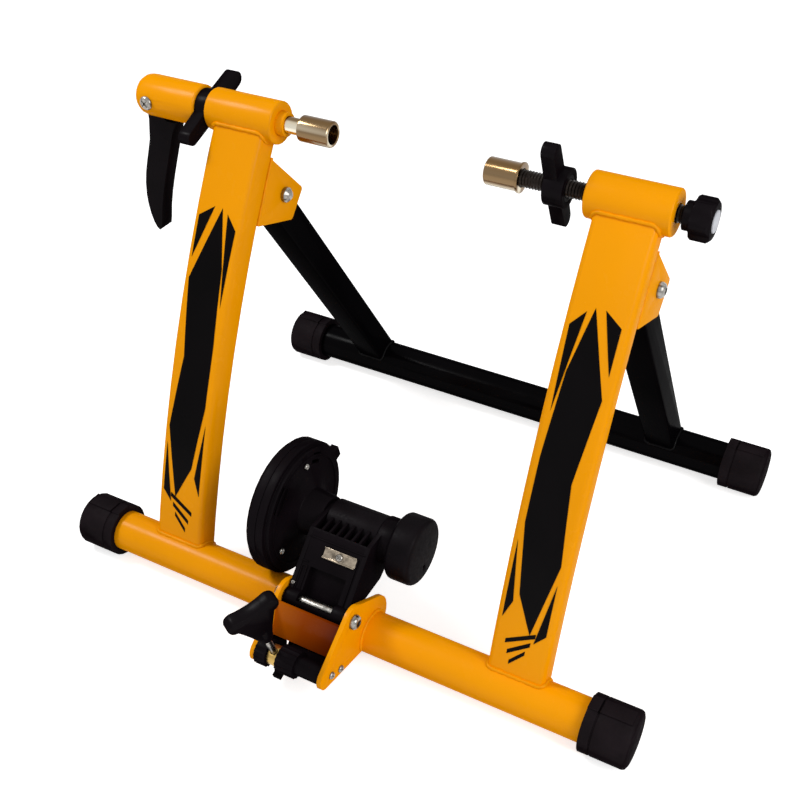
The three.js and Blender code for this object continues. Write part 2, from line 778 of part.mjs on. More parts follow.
function rollerArm() {
  const inner = armInner;
  const shell = [
    armSide(-armHalfWidth, -inner, bearingRadius + armPlate),
    armSide(inner, armHalfWidth, bearingRadius + armPlate),
    rodX(armBossRadius, -armHalfWidth, armHalfWidth, pivotY, pivotZ),
    slopeBlock(-inner, inner, 0, armSlope - armRib, 0, armFrontThickness),
    plateX([
      [armUndersideFrontY, armUndersideZ], [armUndersideRearY, armUndersideZ],
      [armUndersideRearY, armUndersideZ + armRib], [armUndersideFrontY, armUndersideZ + armRib],
    ], -inner, inner),
    slopeBlock(-inner, inner, armSlope - 2 * armRib, armSlope, 0, armFrontThickness),
    rodX(neckRadius, inner, neckEndX, axleY, axleZ, fineSides),
    heel(),
  ];
  const ribStep = (2 * inner) / (armLadderRibs + 1);
  for (let i = 1; i <= armLadderRibs; i += 1) {
    const x = -inner + i * ribStep;
    shell.push(plateX([
      [armBendY - armRib, armBendZ - armRib], [armBendY, armBendZ], [armTopY + armPlate, armBendZ],
      [armUndersideRearY, armUndersideZ + armRib / 2], [armBendY - armPlate, armUndersideZ + armRib / 2],
    ], x - armRib / 2, x + armRib / 2));
  }
  const x1 = armHalfWidth + overrun;
  const rollerSpace = rodX(rollerRadius + runningGap, -inner, inner, axleY, axleZ, fineSides);
  const axleHole = rodX(axleRadius + 2 * runningGap, -x1, neckEndX + overrun, axleY, axleZ);
  const seat = rodX(bearingRadius + gap, bearingSeatStart - gap, neckEndX + overrun, axleY, axleZ, tubeSides);
  const sleeveHole = rodX(armSleeveRadius + gap, -x1, x1, pivotY, pivotZ);
  const pocket = slopeBlock(
    armPocketLeftWall - inner, inner - armPocketRightWall, armPocketFrom, armPocketTo,
    -overrun, armFrontThickness - armPocketFloor);
  const sleeveWindow = slopeBlock(
    -sleeveWindowHalf, sleeveWindowHalf, sleeveWindowFrom, armPocketTo,
    -armBossRadius, armFrontThickness - armPocketFloor);
  return cut(joined(shell), [rollerSpace, axleHole, seat, sleeveHole, pocket, sleeveWindow]);
}

function springClip() {
  const [x0, x1] = [clipCentreX - clipWidth / 2, clipCentreX + clipWidth / 2];
  const clipTo = clipFrom + clipHeight;
  const flat = slopeBlock(x0, x1, clipFrom, clipTo, -gap - clipThickness, -gap);
  const lip = slopeBlock(x0, x1, clipFrom, clipFrom + clipThickness, -gap - clipLip, -gap);
  const far = slopeBlock(x0, x1, clipTo - clipThickness, clipTo, -gap - clipLip, -gap);
  return joined([flat, lip, far]);
}

// Small domed screw about Z: its head rests at z = 0 and its shank points down
function smallScrew(length, radius = blockScrewRadius, headRadius = smallHeadRadius) {
  const profile = [
    [-length, 0], [-length, radius], [gap, radius], [gap, headRadius],
    [gap + smallHeadHeight / 2, headRadius], [gap + smallHeadHeight, headRadius / 2],
    [gap + smallHeadHeight, 0],
  ];
  return latheX(profile, 0, 0, smallSides).rotate([0, -toDegrees(rightAngle), 0]);
}

// Magnet unit's two covers on the left end of the axle
const housingHubEndX = -armHalfWidth - gap;
const hubSeatEnd = housingHubEndX - bearingInset;
const screwAngles = Array.from(
  { length: coverScrewCount }, (_, i) => (2 * Math.PI * i) / coverScrewCount + coverScrewAngle);
const around = (radius, angle) => [axleY + radius * Math.cos(angle), axleZ + radius * Math.sin(angle)];

function outerCover() {
  const inside = housingRadius - housingWall;
  const shell = latheX([
    [housingLeftX, 0], [housingLeftX, housingRadius - housingStep],
    [housingLeftX + housingStep, housingRadius],
    [housingJoinX - gap, housingRadius], [housingJoinX - gap, inside], [housingLeftX + housingWall, inside],
    [housingLeftX + housingWall, 0],
  ], axleY, axleZ, fineSides);
  const bosses = screwAngles.map((angle) =>
    rodX(screwBossRadius, housingLeftX + housingWall / 2, housingJoinX - gap,
      ...around(housingScrewOut, angle), smallSides));
  const holes = screwAngles.map((angle) =>
    rodX(coverScrewRadius + gap, housingJoinX - housingScrewLength, housingJoinX + overrun,
      ...around(housingScrewOut, angle), smallSides));
  return cut(joined([shell, ...bosses]), holes);
}

function innerCover() {
  const inside = housingRadius - housingWall;
  const wallFace = housingRightX - housingWall;
  const shell = latheX([
    [housingJoinX, inside], [housingJoinX, housingRadius], [housingRightX - housingStep, housingRadius],
    [housingRightX - housingStep, housingRadius - housingStep], [housingRightX, housingRadius - housingStep],
    [housingRightX, housingScrewOut - coneScrewGap], [housingRightX + coneLength, housingHubRadius],
    [housingHubEndX, housingHubRadius - armRib],
    [housingHubEndX, axleRadius + 2 * runningGap], [hubSeatEnd, axleRadius + 2 * runningGap],
    [hubSeatEnd, bearingRadius + gap], [wallFace, bearingRadius + gap], [wallFace, inside - housingStep],
    [wallFace - housingStep, inside - housingStep], [wallFace - housingStep, inside],
  ], axleY, axleZ, fineSides);
  const bosses = screwAngles.map((angle) =>
    rodX(screwBossRadius, housingJoinX, housingRightX - housingWall / 2,
      ...around(housingScrewOut, angle), smallSides));
  const tab = box(
    housingJoinX, housingRightX - housingStep, axleY - housingTabWidth / 2, axleY + housingTabWidth / 2,
    axleZ + housingRadius - housingWall, axleZ + housingRadius + housingTabOut);
  const turned = tab.translate([0, -axleY, -axleZ])
    .rotate([toDegrees(tabAngle), 0, 0])
    .translate([0, axleY, axleZ]);
  const holes = screwAngles.map((angle) =>
    rodX(coverScrewRadius + gap, housingJoinX - overrun, housingRightX + overrun,
      ...around(housingScrewOut, angle), smallSides));
  const vents = [[longVent, longVentAngle], [shortVent, shortVentAngle]].flatMap(([length, angle]) =>
    [ventInset, ventInset + ventSpacing].map((inset) => {
      const out = housingRadius - inset;
      const slot = box(
        wallFace - overrun, housingRightX + overrun, -length / 2, length / 2,
        out - ventWidth / 2, out + ventWidth / 2);
      return slot.rotate([toDegrees(angle - rightAngle), 0, 0]).translate([0, axleY, axleZ]);
    }));
  return cut(joined([shell, ...bosses, turned]), [...holes, ...vents]);
}

const magnetPlateX = housingLeftX + housingWall + gap;
const discX = magnetPlateX + magnetPlateThickness + magnetThickness + discGap;

function magnetPlate() {
  const x1 = magnetPlateX + magnetPlateThickness;
  const outer = bossInner - magnetPlateEdgeGap;
  const plateRing = rodX(outer, magnetPlateX, x1, axleY, axleZ, fineSides)
    .subtract(rodX(outer - magnetPlateWidth, magnetPlateX - overrun, x1 + overrun, axleY, axleZ));
  const magnets = Array.from({ length: magnetCount }, (_, i) =>
    rodX(magnetRadius, magnetPlateX + magnetPlateThickness / 2, x1 + magnetThickness,
      ...around(outer - magnetPlateWidth / 2, (2 * Math.PI * i) / magnetCount)));
  return joined([plateRing, ...magnets]);
}

function rotorDisc() {
  const discRadius = bossInner - discEdgeGap;
  return latheX([
    [discX, axleRadius + gap], [discX, discRadius], [discX + discThickness, discRadius],
    [discX + discThickness, discHubRadius], [housingRightX - housingWall - runningGap, discHubRadius],
    [housingRightX - housingWall - runningGap, axleRadius + gap],
  ], axleY, axleZ, fineSides);
}

function flywheel() {
  const body = latheX([
    [flywheelStartX, axleRadius + gap], [flywheelStartX, flywheelRadius - flywheelEdge],
    [flywheelStartX + flywheelEdge, flywheelRadius], [flywheelEndX - flywheelEdge, flywheelRadius],
    [flywheelEndX, flywheelRadius - flywheelEdge], [flywheelEndX, 0],
    [flywheelEndX - flywheelHoleDepth, 0], [flywheelEndX - flywheelHoleDepth, axleRadius + gap],
  ], axleY, axleZ, fineSides);
  const hole = rodX(
    flywheelHoleRadius, flywheelEndX - flywheelHoleDepth, flywheelEndX + overrun,
    ...around(flywheelHoleOut, -rightAngle), smallSides);
  return body.subtract(hole);
}

const ring = (outer, inner, x0, x1, y, z, sides = tubeSides) =>
  rodX(outer, x0, x1, y, z, sides).subtract(rodX(inner, x0 - overrun, x1 + overrun, y, z, sides));

// Left clamp: housing with a lever slot, a spring pocket and the threaded tube that runs through the barrel
function leverHousing() {
  const roundPoints = Array.from({ length: sleeveRoundSteps + 1 }, (_, i) => {
    const angle = (rightAngle * i) / sleeveRoundSteps;
    return [
      sleeveLeftX + sleeveRound * (1 - Math.cos(angle)),
      housingTubeRadius - sleeveRound * (1 - Math.sin(angle))];
  });
  const boreEnd = plungerLeftX - plungerTravel - gap;
  const body = latheX([
    [sleeveLeftX, 0], ...roundPoints, [sleeveRightX - barrelEdge, housingTubeRadius],
    [sleeveRightX, housingTubeRadius - barrelEdge], [sleeveRightX, threadTubeRadius],
    [threadTubeEndX, threadTubeRadius],
    [threadTubeEndX, plungerRadius + gap], [springPocketEndX, plungerRadius + gap],
    [springPocketEndX, springPocketRadius], [boreEnd, springPocketRadius], [boreEnd, 0],
  ], clampY, clampHeight, tubeSides);
  const half = leverThickness / 2 + runningGap;
  const slot = box(
    sleeveLeftX - overrun, sleeveSlotRightX, clampY - half, clampY + half,
    clampHeight - 2 * housingTubeRadius, clampHeight + housingTubeRadius - sleeveRoof);
  const pinHole = rodY(
    leverBoltRadius + gap, clampY - 2 * housingTubeRadius, clampY + 2 * housingTubeRadius,
    leverPivotX, clampHeight);
  return cut(body, [slot, pinHole]);
}

// The lever's outline as shares of its drop, counted from its pin
const leverOutlineShares = [
  [-0.068, -0.02], [-0.071, -0.156], [-0.092, -0.302], [-0.12, -0.391], [-0.15, -0.483], [-0.174, -0.565],
  [-0.192, -0.651], [-0.201, -0.742], [-0.199, -0.816], [-0.189, -0.889], [-0.172, -0.95], [-0.151, -0.99],
  [-0.13, -1.006], [-0.112, -0.992], [-0.1, -0.94], [-0.082, -0.84], [-0.054, -0.73], [-0.011, -0.59],
  [0.033, -0.46], [0.076, -0.335], [0.112, -0.23], [0.15, -0.142], [0.08, -0.142],
];

function camLever() {
  const outline = leverOutlineShares.map(
    ([u, v]) => [leverPivotX + u * leverDrop, clampHeight + v * leverDrop]);
  const half = leverThickness / 2;
  const blade = plateY(outline, clampY - half, clampY + half);
  const cam = rodY(
    camRadius, clampY - half, clampY + half, leverPivotX + camOffset, clampHeight - camOffset, tubeSides);
  const pinHole = rodY(
    leverBoltRadius + gap, clampY - half - overrun, clampY + half + overrun, leverPivotX, clampHeight);
  return cut(blade.add(cam), [pinHole]);
}

function leverPin() {
  const span = housingTubeRadius;
  const head = leverHeadHeight;
  return latheX([
    [-span - head, 0], [-span - head, leverHeadRadius / 2], [-span - head / 2, leverHeadRadius],
    [-span - gap, leverHeadRadius], [-span - gap, leverBoltRadius], [span + gap, leverBoltRadius],
    [span + gap, leverHeadRadius], [span + head / 2, leverHeadRadius], [span + head, leverHeadRadius / 2],
    [span + head, 0],
  ], 0, 0, smallSides)
    .rotate([0, 0, toDegrees(rightAngle)])
    .translate([leverPivotX, clampY, clampHeight]);
}

const plungerLeftX = leverPivotX + camOffset + camRadius + gap;

function plunger() {
  const headEnd = sleeveSlotRightX + springWire;
  return latheX([
    [plungerLeftX, 0], [plungerLeftX, plungerHeadRadius], [headEnd, plungerHeadRadius],
    [headEnd, plungerRadius], [leftCupX - cupLength + cupSocket - gap, plungerRadius],
    [leftCupX - cupLength + cupSocket - gap, 0],
  ], clampY, clampHeight);
}

class SpringHelix extends THREE.Curve {
  getPoint(share) {
    const from = sleeveSlotRightX + springWire + gap + springWire;
    const to = springPocketEndX - gap - springWire;
    const angle = 2 * Math.PI * springTurns * share;
    return new THREE.Vector3(
      from + (to - from) * share,
      clampY + springRadius * Math.cos(angle), clampHeight + springRadius * Math.sin(angle));
  }
}

// Least gap between the spring's turns, measured between points of its wire at least half a turn apart
function springGap() {
  const points = new SpringHelix().getPoints(springGapPoints);
  const apart = springGapPoints / springTurns / 2;
  const distances = points.flatMap(
    (point, i) => points.slice(i + apart).map((other) => point.distanceTo(other)));
  return distances.reduce((least, distance) => Math.min(least, distance), Infinity) - 2 * springWire;
}

function plungerSpring() {
  const section = new THREE.Shape(
    circle(0, 0, springWire, springSides).map(([u, v]) => new THREE.Vector2(u, v)));
  return toSolid(new THREE.ExtrudeGeometry(
    section, { steps: springSteps * springTurns, extrudePath: new SpringHelix() }));
}

// Cup for an axle nut: its mouth is at x = 0 and opens to plus X
function cup(shaftRadius, collar) {
  return latheX([
    [0, cupBore], [-cupDepth, cupBore], [-cupDepth, 0], [-cupLength + cupSocket, 0],
    [-cupLength + cupSocket, shaftRadius + gap], [-cupLength, shaftRadius + gap],
    [-cupLength, cupRadius + collar],
    [-cupLength + 2 * barrelEdge, cupRadius + collar], [-cupLength + 2 * barrelEdge, cupRadius],
    [-barrelEdge, cupRadius], [0, cupRadius - barrelEdge],
  ], 0, 0, tubeSides);
}

// Lock nut with two wings; it starts at x = 0
function lockNut(bore, hubLength, lean) {
  const tip = lockNutHalfSpan - lockNutTipHalf;
  const wings = hull([
    ...circle(-tip, 0, lockNutTipHalf), ...circle(tip, 0, lockNutTipHalf),
    ...circle(0, 0, lockNutTipHalf + barrelEdge)]);
  const solid = plateX(wings, 0, lockNutThickness)
    .add(rodX(lockNutHubRadius, 0, hubLength, 0, 0, tubeSides))
    .subtract(rodX(bore, -overrun, hubLength + overrun, 0, 0, tubeSides));
  return solid.rotate([toDegrees(lean + rightAngle), 0, 0]);
}

// Threaded stretch as even ridges between two places along X
function screwRod(x0, x1) {
  const profile = [[x0, 0], [x0, screwRadius - threadDepth]];
  const ridges = Math.floor((x1 - x0) / threadPitch - 1);
  for (let i = 0; i < ridges; i += 1) {
    const start = x0 + (i + 1 / 2) * threadPitch;
    profile.push([start, screwRadius - threadDepth], [start + threadPitch / 2, screwRadius]);
  }
  profile.push([x1, screwRadius - threadDepth], [x1, 0]);
  return latheX(profile, clampY, clampHeight, smallSides);
}

function screwKnob() {
  const lobes = Array.from({ length: fineSides }, (_, i) => {
    const angle = (2 * Math.PI * i) / fineSides;
    const radius = gripRadius + (gripLobeRadius / 2) * Math.cos(gripLobes * angle);
    return [radius * Math.cos(angle), radius * Math.sin(angle)];
  });
  const gripEnd = knobNeckLength + gripLength;
  const outerRadius = gripRadius + gripLobeRadius / 2;
  const grip = plateX(lobes, knobNeckLength, gripEnd).intersect(latheX([
    [knobNeckLength, 0], [knobNeckLength, outerRadius - gripChamfer / 2],
    [knobNeckLength + gripChamfer / 2, outerRadius], [gripEnd - gripChamfer, outerRadius],
    [gripEnd, outerRadius - gripChamfer], [gripEnd, 0]], 0, 0, fineSides));
  const neck = rodX(knobNeckRadius, 0, knobNeckLength + barrelEdge, 0, 0);
  const socket = rodX(screwRadius + gap, -overrun, gripSocketDepth, 0, 0);
  const recess = rodX(gripCapRadius + gap, gripEnd - gripCapThickness, gripEnd + overrun, 0, 0);
  return cut(grip.add(neck), [socket, recess]).translate([knobNeckX, clampY, clampHeight]);
}

// The object, piece by piece
const trainer = new THREE.Group();
const frontFrame = new THREE.Group();
const rearFrame = new THREE.Group();
const rollerUnit = new THREE.Group();
const clamps = new THREE.Group();
trainer.add(frontFrame, rearFrame, rollerUnit, clamps);

addPart(frontFrame, "front_tube", hollowTube(tubeHalfLength, frontTubeY, tubeHeight), yellowEnamel());
addPart(rearFrame, "rear_tube", hollowTube(tubeHalfLength, rearTubeY, tubeHeight), blackEnamel());

const rightUpright = upright();
const rightBracket = hingeBracket();
const rightLeg = leg();
const footSolid = foot();
const bushSolid = foldBush();
const boltSolid = domedBolt(foldBoltRadius, uprightWidth + nutHeight / 2, boltHeadRadius, boltHeadHeight);
const nutSolid = domedNut(foldBoltRadius, nutRadius, nutHeight);
const bores = { left: threadTubeRadius + gap, right: screwRadius + gap };

for (const side of [-1, 1]) {
  const word = sideWord(side);
  addPart(frontFrame, `${word}_upright`, mirrorTo(rightUpright, side), yellowEnamel());
  addPart(frontFrame, `${word}_clamp_barrel`, mirrorTo(barrel(bores[word]), side), yellowEnamel());
  addPart(frontFrame, `${word}_hinge_bracket`, mirrorTo(rightBracket, side), yellowEnamel());
  addPart(rearFrame, `${word}_leg`, mirrorTo(rightLeg, side), blackEnamel());
  const bush = addPart(rearFrame, `${word}_fold_bush`, bushSolid, blackPlastic());
  bush.position.set(side * uprightX, foldPivot.x, foldPivot.y);
  const bolt = addPart(frontFrame, `${word}_fold_bolt`, mirrorTo(boltSolid, side), zincSteel());
  bolt.position.set(side * (uprightX + uprightWidth / 2), foldPivot.x, foldPivot.y);
  const nut = addPart(frontFrame, `${word}_fold_nut`, mirrorTo(nutSolid, -side), zincSteel());
  nut.position.set(side * (uprightX - uprightWidth / 2), foldPivot.x, foldPivot.y);
  for (const [frame, y, end] of [[frontFrame, frontTubeY, "front"], [rearFrame, rearTubeY, "rear"]]) {
    const rubberFoot = addPart(frame, `${end}_${word}_foot`, mirrorTo(footSolid, side), rubber());
    rubberFoot.position.set(side * stanceHalfWidth, y, tubeHeight);
  }
}

addPart(frontFrame, "unit_bracket", unitBracket(), yellowEnamel());
const armBoltLength = 2 * earHalfWidth + nutHeight / 2;
const armBoltSolid = domedBolt(armBoltRadius, armBoltLength, boltHeadRadius, boltHeadHeight);
const armBolt = addPart(frontFrame, "arm_pivot_bolt", armBoltSolid, zincSteel());
armBolt.position.set(earHalfWidth, pivotY, pivotZ);
const armNut = addPart(frontFrame, "arm_pivot_nut", mirrorTo(nutSolid, -1), zincSteel());
armNut.position.set(-earHalfWidth, pivotY, pivotZ);
addPart(frontFrame, "arm_pivot_sleeve",
  ring(armSleeveRadius, armBoltRadius + gap, -earInner + gap, earInner - gap, pivotY, pivotZ), zincSteel());
addPart(frontFrame, "left_adjuster_block", adjusterBlock(-1), blackPlastic());
addPart(frontFrame, "right_adjuster_block", adjusterBlock(1), blackPlastic());
addPart(frontFrame, "adjuster_nut", brassNut(), brass());
const blockScrew = smallScrew(blockScrewLength).rotate([0, toDegrees(rightAngle), 0]);
let screwCount = 0;
for (const side of [-1, 1]) {
  for (const back of [blockScrewOneBack, blockScrewTwoBack]) {
    screwCount += 1;
    const screw = addPart(frontFrame, `block_screw_${screwCount}`, mirrorTo(blockScrew, side), zincSteel());
    screw.position.set(side * earHalfWidth, ...blockScrewPlace(back));
  }
}
addPart(rollerUnit, "adjuster_rod", adjusterRod(), zincSteel());
addPart(rollerUnit, "adjuster_knob", adjusterKnob(), blackPlastic());

addPart(rollerUnit, "roller_arm", rollerArm(), blackPlastic());
addPart(rollerUnit, "spring_clip", springClip(), nickelSteel());

addPart(rollerUnit, "roller",
  ring(rollerRadius, axleRadius + gap, rollerEndGap - armInner, armInner - rollerEndGap,
    axleY, axleZ, fineSides), blackSteel());
addPart(rollerUnit, "roller_axle",
  rodX(axleRadius, discX, flywheelEndX - flywheelHoleDepth - gap, axleY, axleZ), zincSteel());
addPart(rollerUnit, "right_bearing",
  ring(bearingRadius, axleRadius + gap, bearingSeatStart, bearingSeatStart + bearingWidth, axleY, axleZ),
  zincSteel());
addPart(rollerUnit, "left_bearing",
  ring(bearingRadius, axleRadius + gap, hubSeatEnd - gap - bearingWidth, hubSeatEnd - gap, axleY, axleZ),
  zincSteel());
addPart(rollerUnit, "flywheel", flywheel(), blackSteel());
addPart(rollerUnit, "rotor_disc", rotorDisc(), aluminium());
addPart(rollerUnit, "magnet_cover_inner", innerCover(), blackPlastic());
addPart(rollerUnit, "magnet_cover_outer", outerCover(), blackPlastic());
addPart(rollerUnit, "magnet_plate", magnetPlate(), magnetSteel());
const coverScrew = smallScrew(
  housingRightX - housingJoinX + housingScrewLength - overrun, coverScrewRadius, coverScrewHead)
  .rotate([0, toDegrees(rightAngle), 0]);
screwAngles.forEach((angle, i) => {
  const screw = addPart(rollerUnit, `cover_screw_${i + 1}`, coverScrew, zincSteel());
  screw.position.set(housingRightX, ...around(housingScrewOut, angle));
});

addPart(clamps, "lever_housing", leverHousing(), yellowEnamel());
addPart(clamps, "cam_lever", camLever(), blackPlastic());
addPart(clamps, "lever_pin", leverPin(), zincSteel());
addPart(clamps, "plunger", plunger(), nickelSteel());
addPart(clamps, "plunger_spring", plungerSpring(), zincSteel());
const leftCup = addPart(clamps, "left_axle_cup", cup(plungerRadius, 0), nickelSteel());
leftCup.position.set(leftCupX, clampY, clampHeight);
const leftNut = addPart(
  clamps, "left_lock_nut", lockNut(threadTubeRadius + gap, lockNutThickness, leftNutAngle), blackPlastic());
leftNut.position.set(-barrelOuterX - gap - lockNutThickness, clampY, clampHeight);

addPart(clamps, "right_screw",
  screwRod(rightCupX + cupLength - cupSocket + gap, knobNeckX + gripSocketDepth - gap), blackSteel());
const rightCup = addPart(clamps, "right_axle_cup", mirrorTo(cup(screwRadius, barrelEdge), -1), nickelSteel());
rightCup.position.set(rightCupX, clampY, clampHeight);
const rightNut = addPart(
  clamps, "right_lock_nut", lockNut(insertRadius + gap, rightNutHubLength, rightNutAngle), blackPlastic());
rightNut.position.set(rightNutX, clampY, clampHeight);
const insert = addPart(
  clamps, "right_nut_insert", ring(insertRadius, screwRadius + gap, 0, rightNutHubLength, 0, 0), blackSteel());
insert.position.set(rightNutX, clampY, clampHeight);
addPart(clamps, "right_screw_knob", screwKnob(), blackPlastic());
const capStart = knobNeckX + knobNeckLength + gripLength - gripCapThickness + gap;
addPart(clamps, "knob_cap_disc",
  rodX(gripCapRadius, capStart, capStart + gripCapThickness + gripCapProud, clampY, clampHeight),
  whitePlastic());

console.log(`plunger_spring: least gap to itself ${springGap().toFixed(2)} mm`);

// The origin lies on the floor under the middle of the whole object
const extent = new THREE.Box3().setFromObject(trainer);
trainer.position.set(-(extent.min.x + extent.max.x) / 2, -(extent.min.y + extent.max.y) / 2, -extent.min.z);

export default trainer;
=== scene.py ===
import math

import bmesh
import bpy
from bpy.props import BoolProperty, FloatProperty, FloatVectorProperty, IntProperty, PointerProperty
from bpy.types import Operator, Panel, PropertyGroup
from mathutils import Matrix, Vector


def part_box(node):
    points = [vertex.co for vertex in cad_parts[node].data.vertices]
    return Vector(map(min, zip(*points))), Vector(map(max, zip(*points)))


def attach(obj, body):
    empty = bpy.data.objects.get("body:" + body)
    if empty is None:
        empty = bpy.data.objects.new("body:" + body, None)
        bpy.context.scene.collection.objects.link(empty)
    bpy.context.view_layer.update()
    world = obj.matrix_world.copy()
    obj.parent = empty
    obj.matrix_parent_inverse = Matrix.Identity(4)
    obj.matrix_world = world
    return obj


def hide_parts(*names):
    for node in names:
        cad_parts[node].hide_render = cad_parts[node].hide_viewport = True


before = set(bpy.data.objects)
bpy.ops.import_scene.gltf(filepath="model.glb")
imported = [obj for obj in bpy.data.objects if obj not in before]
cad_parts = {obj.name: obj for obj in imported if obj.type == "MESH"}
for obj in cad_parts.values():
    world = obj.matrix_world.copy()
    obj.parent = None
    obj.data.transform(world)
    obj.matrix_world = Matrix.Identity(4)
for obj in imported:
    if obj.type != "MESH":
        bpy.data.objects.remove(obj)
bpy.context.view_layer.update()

bl_info = {
    "name": "Turbo trainer dresser",
    "version": (1, 0, 0),
    "blender": (4, 5, 0),
    "location": "View3D > Sidebar > Trainer",
    "description": "Finishes, welds, fasteners and studio stage for a folding turbo trainer",
    "category": "Object",
}

MM = 0.001
TURN = 2 * math.pi

# Rounded and split edges
EDGE_ROUND = 0.55 * MM
BEVEL_SEGMENTS = 3
BEVEL_ANGLE = math.radians(40)
SPLIT_ANGLE = math.radians(38)
MERGE_DISTANCE = 1e-6
WELD_DISTANCE = 1e-5

# Where the middle plane and the middle of the two floor tubes lie in the frame
TUBE_LOW, TUBE_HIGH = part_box("front_tube")
REAR_LOW, REAR_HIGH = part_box("rear_tube")
MID_X = (TUBE_LOW.x + TUBE_HIGH.x) / 2
MID_Y = (TUBE_LOW.y + TUBE_HIGH.y + REAR_LOW.y + REAR_HIGH.y) / 4
TUBE_RADIUS = (TUBE_HIGH.z - TUBE_LOW.z) / 2 / MM
TUBE_Z = (TUBE_HIGH.z + TUBE_LOW.z) / 2 / MM
FRONT_Y = ((TUBE_LOW.y + TUBE_HIGH.y) / 2 - MID_Y) / MM
REAR_Y = ((REAR_LOW.y + REAR_HIGH.y) / 2 - MID_Y) / MM


def spot(x, y, z):
    """A place in millimetres from the middle plane, the tubes' mid line and the floor, in the frame's metres."""
    return Vector((MID_X + x * MM, MID_Y + y * MM, z * MM))


# Uprights: a gentle arc from the front tube to the barrel
UPRIGHT_X = 170.0
UPRIGHT_WIDTH = 50.0
UPRIGHT_DEPTH = 25.0
UPRIGHT_CORNER = 5.0
UPRIGHT_FOOT = Vector((FRONT_Y + 5.4, TUBE_Z))
CLAMP_Y, CLAMP_Z = -14.7, 389.0
BARREL_RADIUS = 18.0
UPRIGHT_BEND = 0.295
CLAMP_MIDDLE = Vector((CLAMP_Y, CLAMP_Z))
CHORD = CLAMP_MIDDLE - UPRIGHT_FOOT
CHORD_LEAN = math.atan2(CHORD.x, CHORD.y)
ARC_RADIUS = CHORD.length / (2 * math.sin(UPRIGHT_BEND / 2))
ARC_LENGTH = ARC_RADIUS * UPRIGHT_BEND


def upright_lean(along):
    """Lean from the vertical after a length along the arc."""
    return CHORD_LEAN + UPRIGHT_BEND * (along / ARC_LENGTH - 0.5)


def upright_place(along, behind):
    """Place on the upright after a length along its arc and a depth behind its centreline, as y and z."""
    foot, lean = upright_lean(0), upright_lean(along)
    y = UPRIGHT_FOOT.x + ARC_RADIUS * (math.cos(foot) - math.cos(lean))
    z = UPRIGHT_FOOT.y + ARC_RADIUS * (math.sin(lean) - math.sin(foot))
    return y + behind * math.cos(lean), z - behind * math.sin(lean)


# Hinge, legs, roller unit and clamps
HINGE_ALONG = ARC_LENGTH - 56.7
HINGE_BEHIND = UPRIGHT_DEPTH / 2 + 30.5
FOLD_Y, FOLD_Z = upright_place(HINGE_ALONG, HINGE_BEHIND)
LEG_X, LEG_WIDTH, LEG_DEPTH = 170.0, 29.5, 28.0
LEG_FOOT = Vector((REAR_Y + 5.0, TUBE_Z))
PIVOT_Y, PIVOT_Z = -211.0, 64.0
EAR_OUTER, EAR_INNER = 35.0, 31.0
SLOPE_Y, SLOPE_Z = -219.0, 60.0
SLOPE_ANGLE = math.atan2(50.0, 49.0)
AXLE_Y, AXLE_Z = -139.3, 93.6
HOUSING_FACE_X = -56.0


class TrainerColours(PropertyGroup):
    enamel: FloatVectorProperty(
        name="Frame enamel", description="Yellow enamel of the front frame and the lever housing",
        subtype="COLOR", size=3, min=0, max=1, default=(0.94, 0.35, 0.0004))
    dark_enamel: FloatVectorProperty(
        name="Folding frame enamel", description="Black enamel of the rear frame",
        subtype="COLOR", size=3, min=0, max=1, default=(0.0016, 0.0013, 0.0017))
    plastic: FloatVectorProperty(
        name="Moulded plastic", description="Black plastic of the roller unit, knobs and nuts",
        subtype="COLOR", size=3, min=0, max=1, default=(0.0042, 0.0028, 0.0038))
    rubber: FloatVectorProperty(
        name="Rubber", description="Rubber of the four feet",
        subtype="COLOR", size=3, min=0, max=1, default=(0.0075, 0.005, 0.0062))
    panel: FloatVectorProperty(
        name="Upright panel", description="Black panels on the uprights",
        subtype="COLOR", size=3, min=0, max=1, default=(0.0016, 0.0011, 0.0014))


class TrainerSizes(PropertyGroup):
    weld_radius: FloatProperty(
        name="Weld bead", description="Radius of the weld beads", unit="LENGTH", default=1.7 * MM, min=0.5 * MM,
        max=4 * MM)
    edge_round: FloatProperty(
        name="Edge round", description="Rounding of moulded and pressed edges", unit="LENGTH",
        default=EDGE_ROUND, min=0.05 * MM, max=2 * MM)
    panel_lift: FloatProperty(
        name="Panel lift", description="Thickness of the panels on the uprights", unit="LENGTH",
        default=0.16 * MM, min=0.05 * MM, max=1 * MM)
    bar_count: IntProperty(
        name="Slanted bars", description="Short slanted bars under each panel", default=3, min=0, max=6)
    show_floor: BoolProperty(name="Floor", description="Show the pale floor", default=True)


# Finishes. The noise seldom leaves its two values. Gloss fades between the two grazing values, to a share of itself.
NOISE_LOW, NOISE_HIGH = 0.3, 0.7
GRAZING_FROM, GRAZING_TO, GRAZING_SHARE = 0.1, 0.5, 0.02


def surface(name, colour, roughness, metallic=0.0, specular=0.5):
    """A material, its node tree and its shader, with the values that are the same all over it."""
    material = bpy.data.materials.new(name)
    material.use_nodes = True
    tree = material.node_tree
    shader = tree.nodes["Principled BSDF"]
    shader.inputs["Base Color"].default_value = (*colour, 1)
    shader.inputs["Roughness"].default_value = roughness
    shader.inputs["Metallic"].default_value = metallic
    shader.inputs["Specular IOR Level"].default_value = specular
    return material, tree, shader


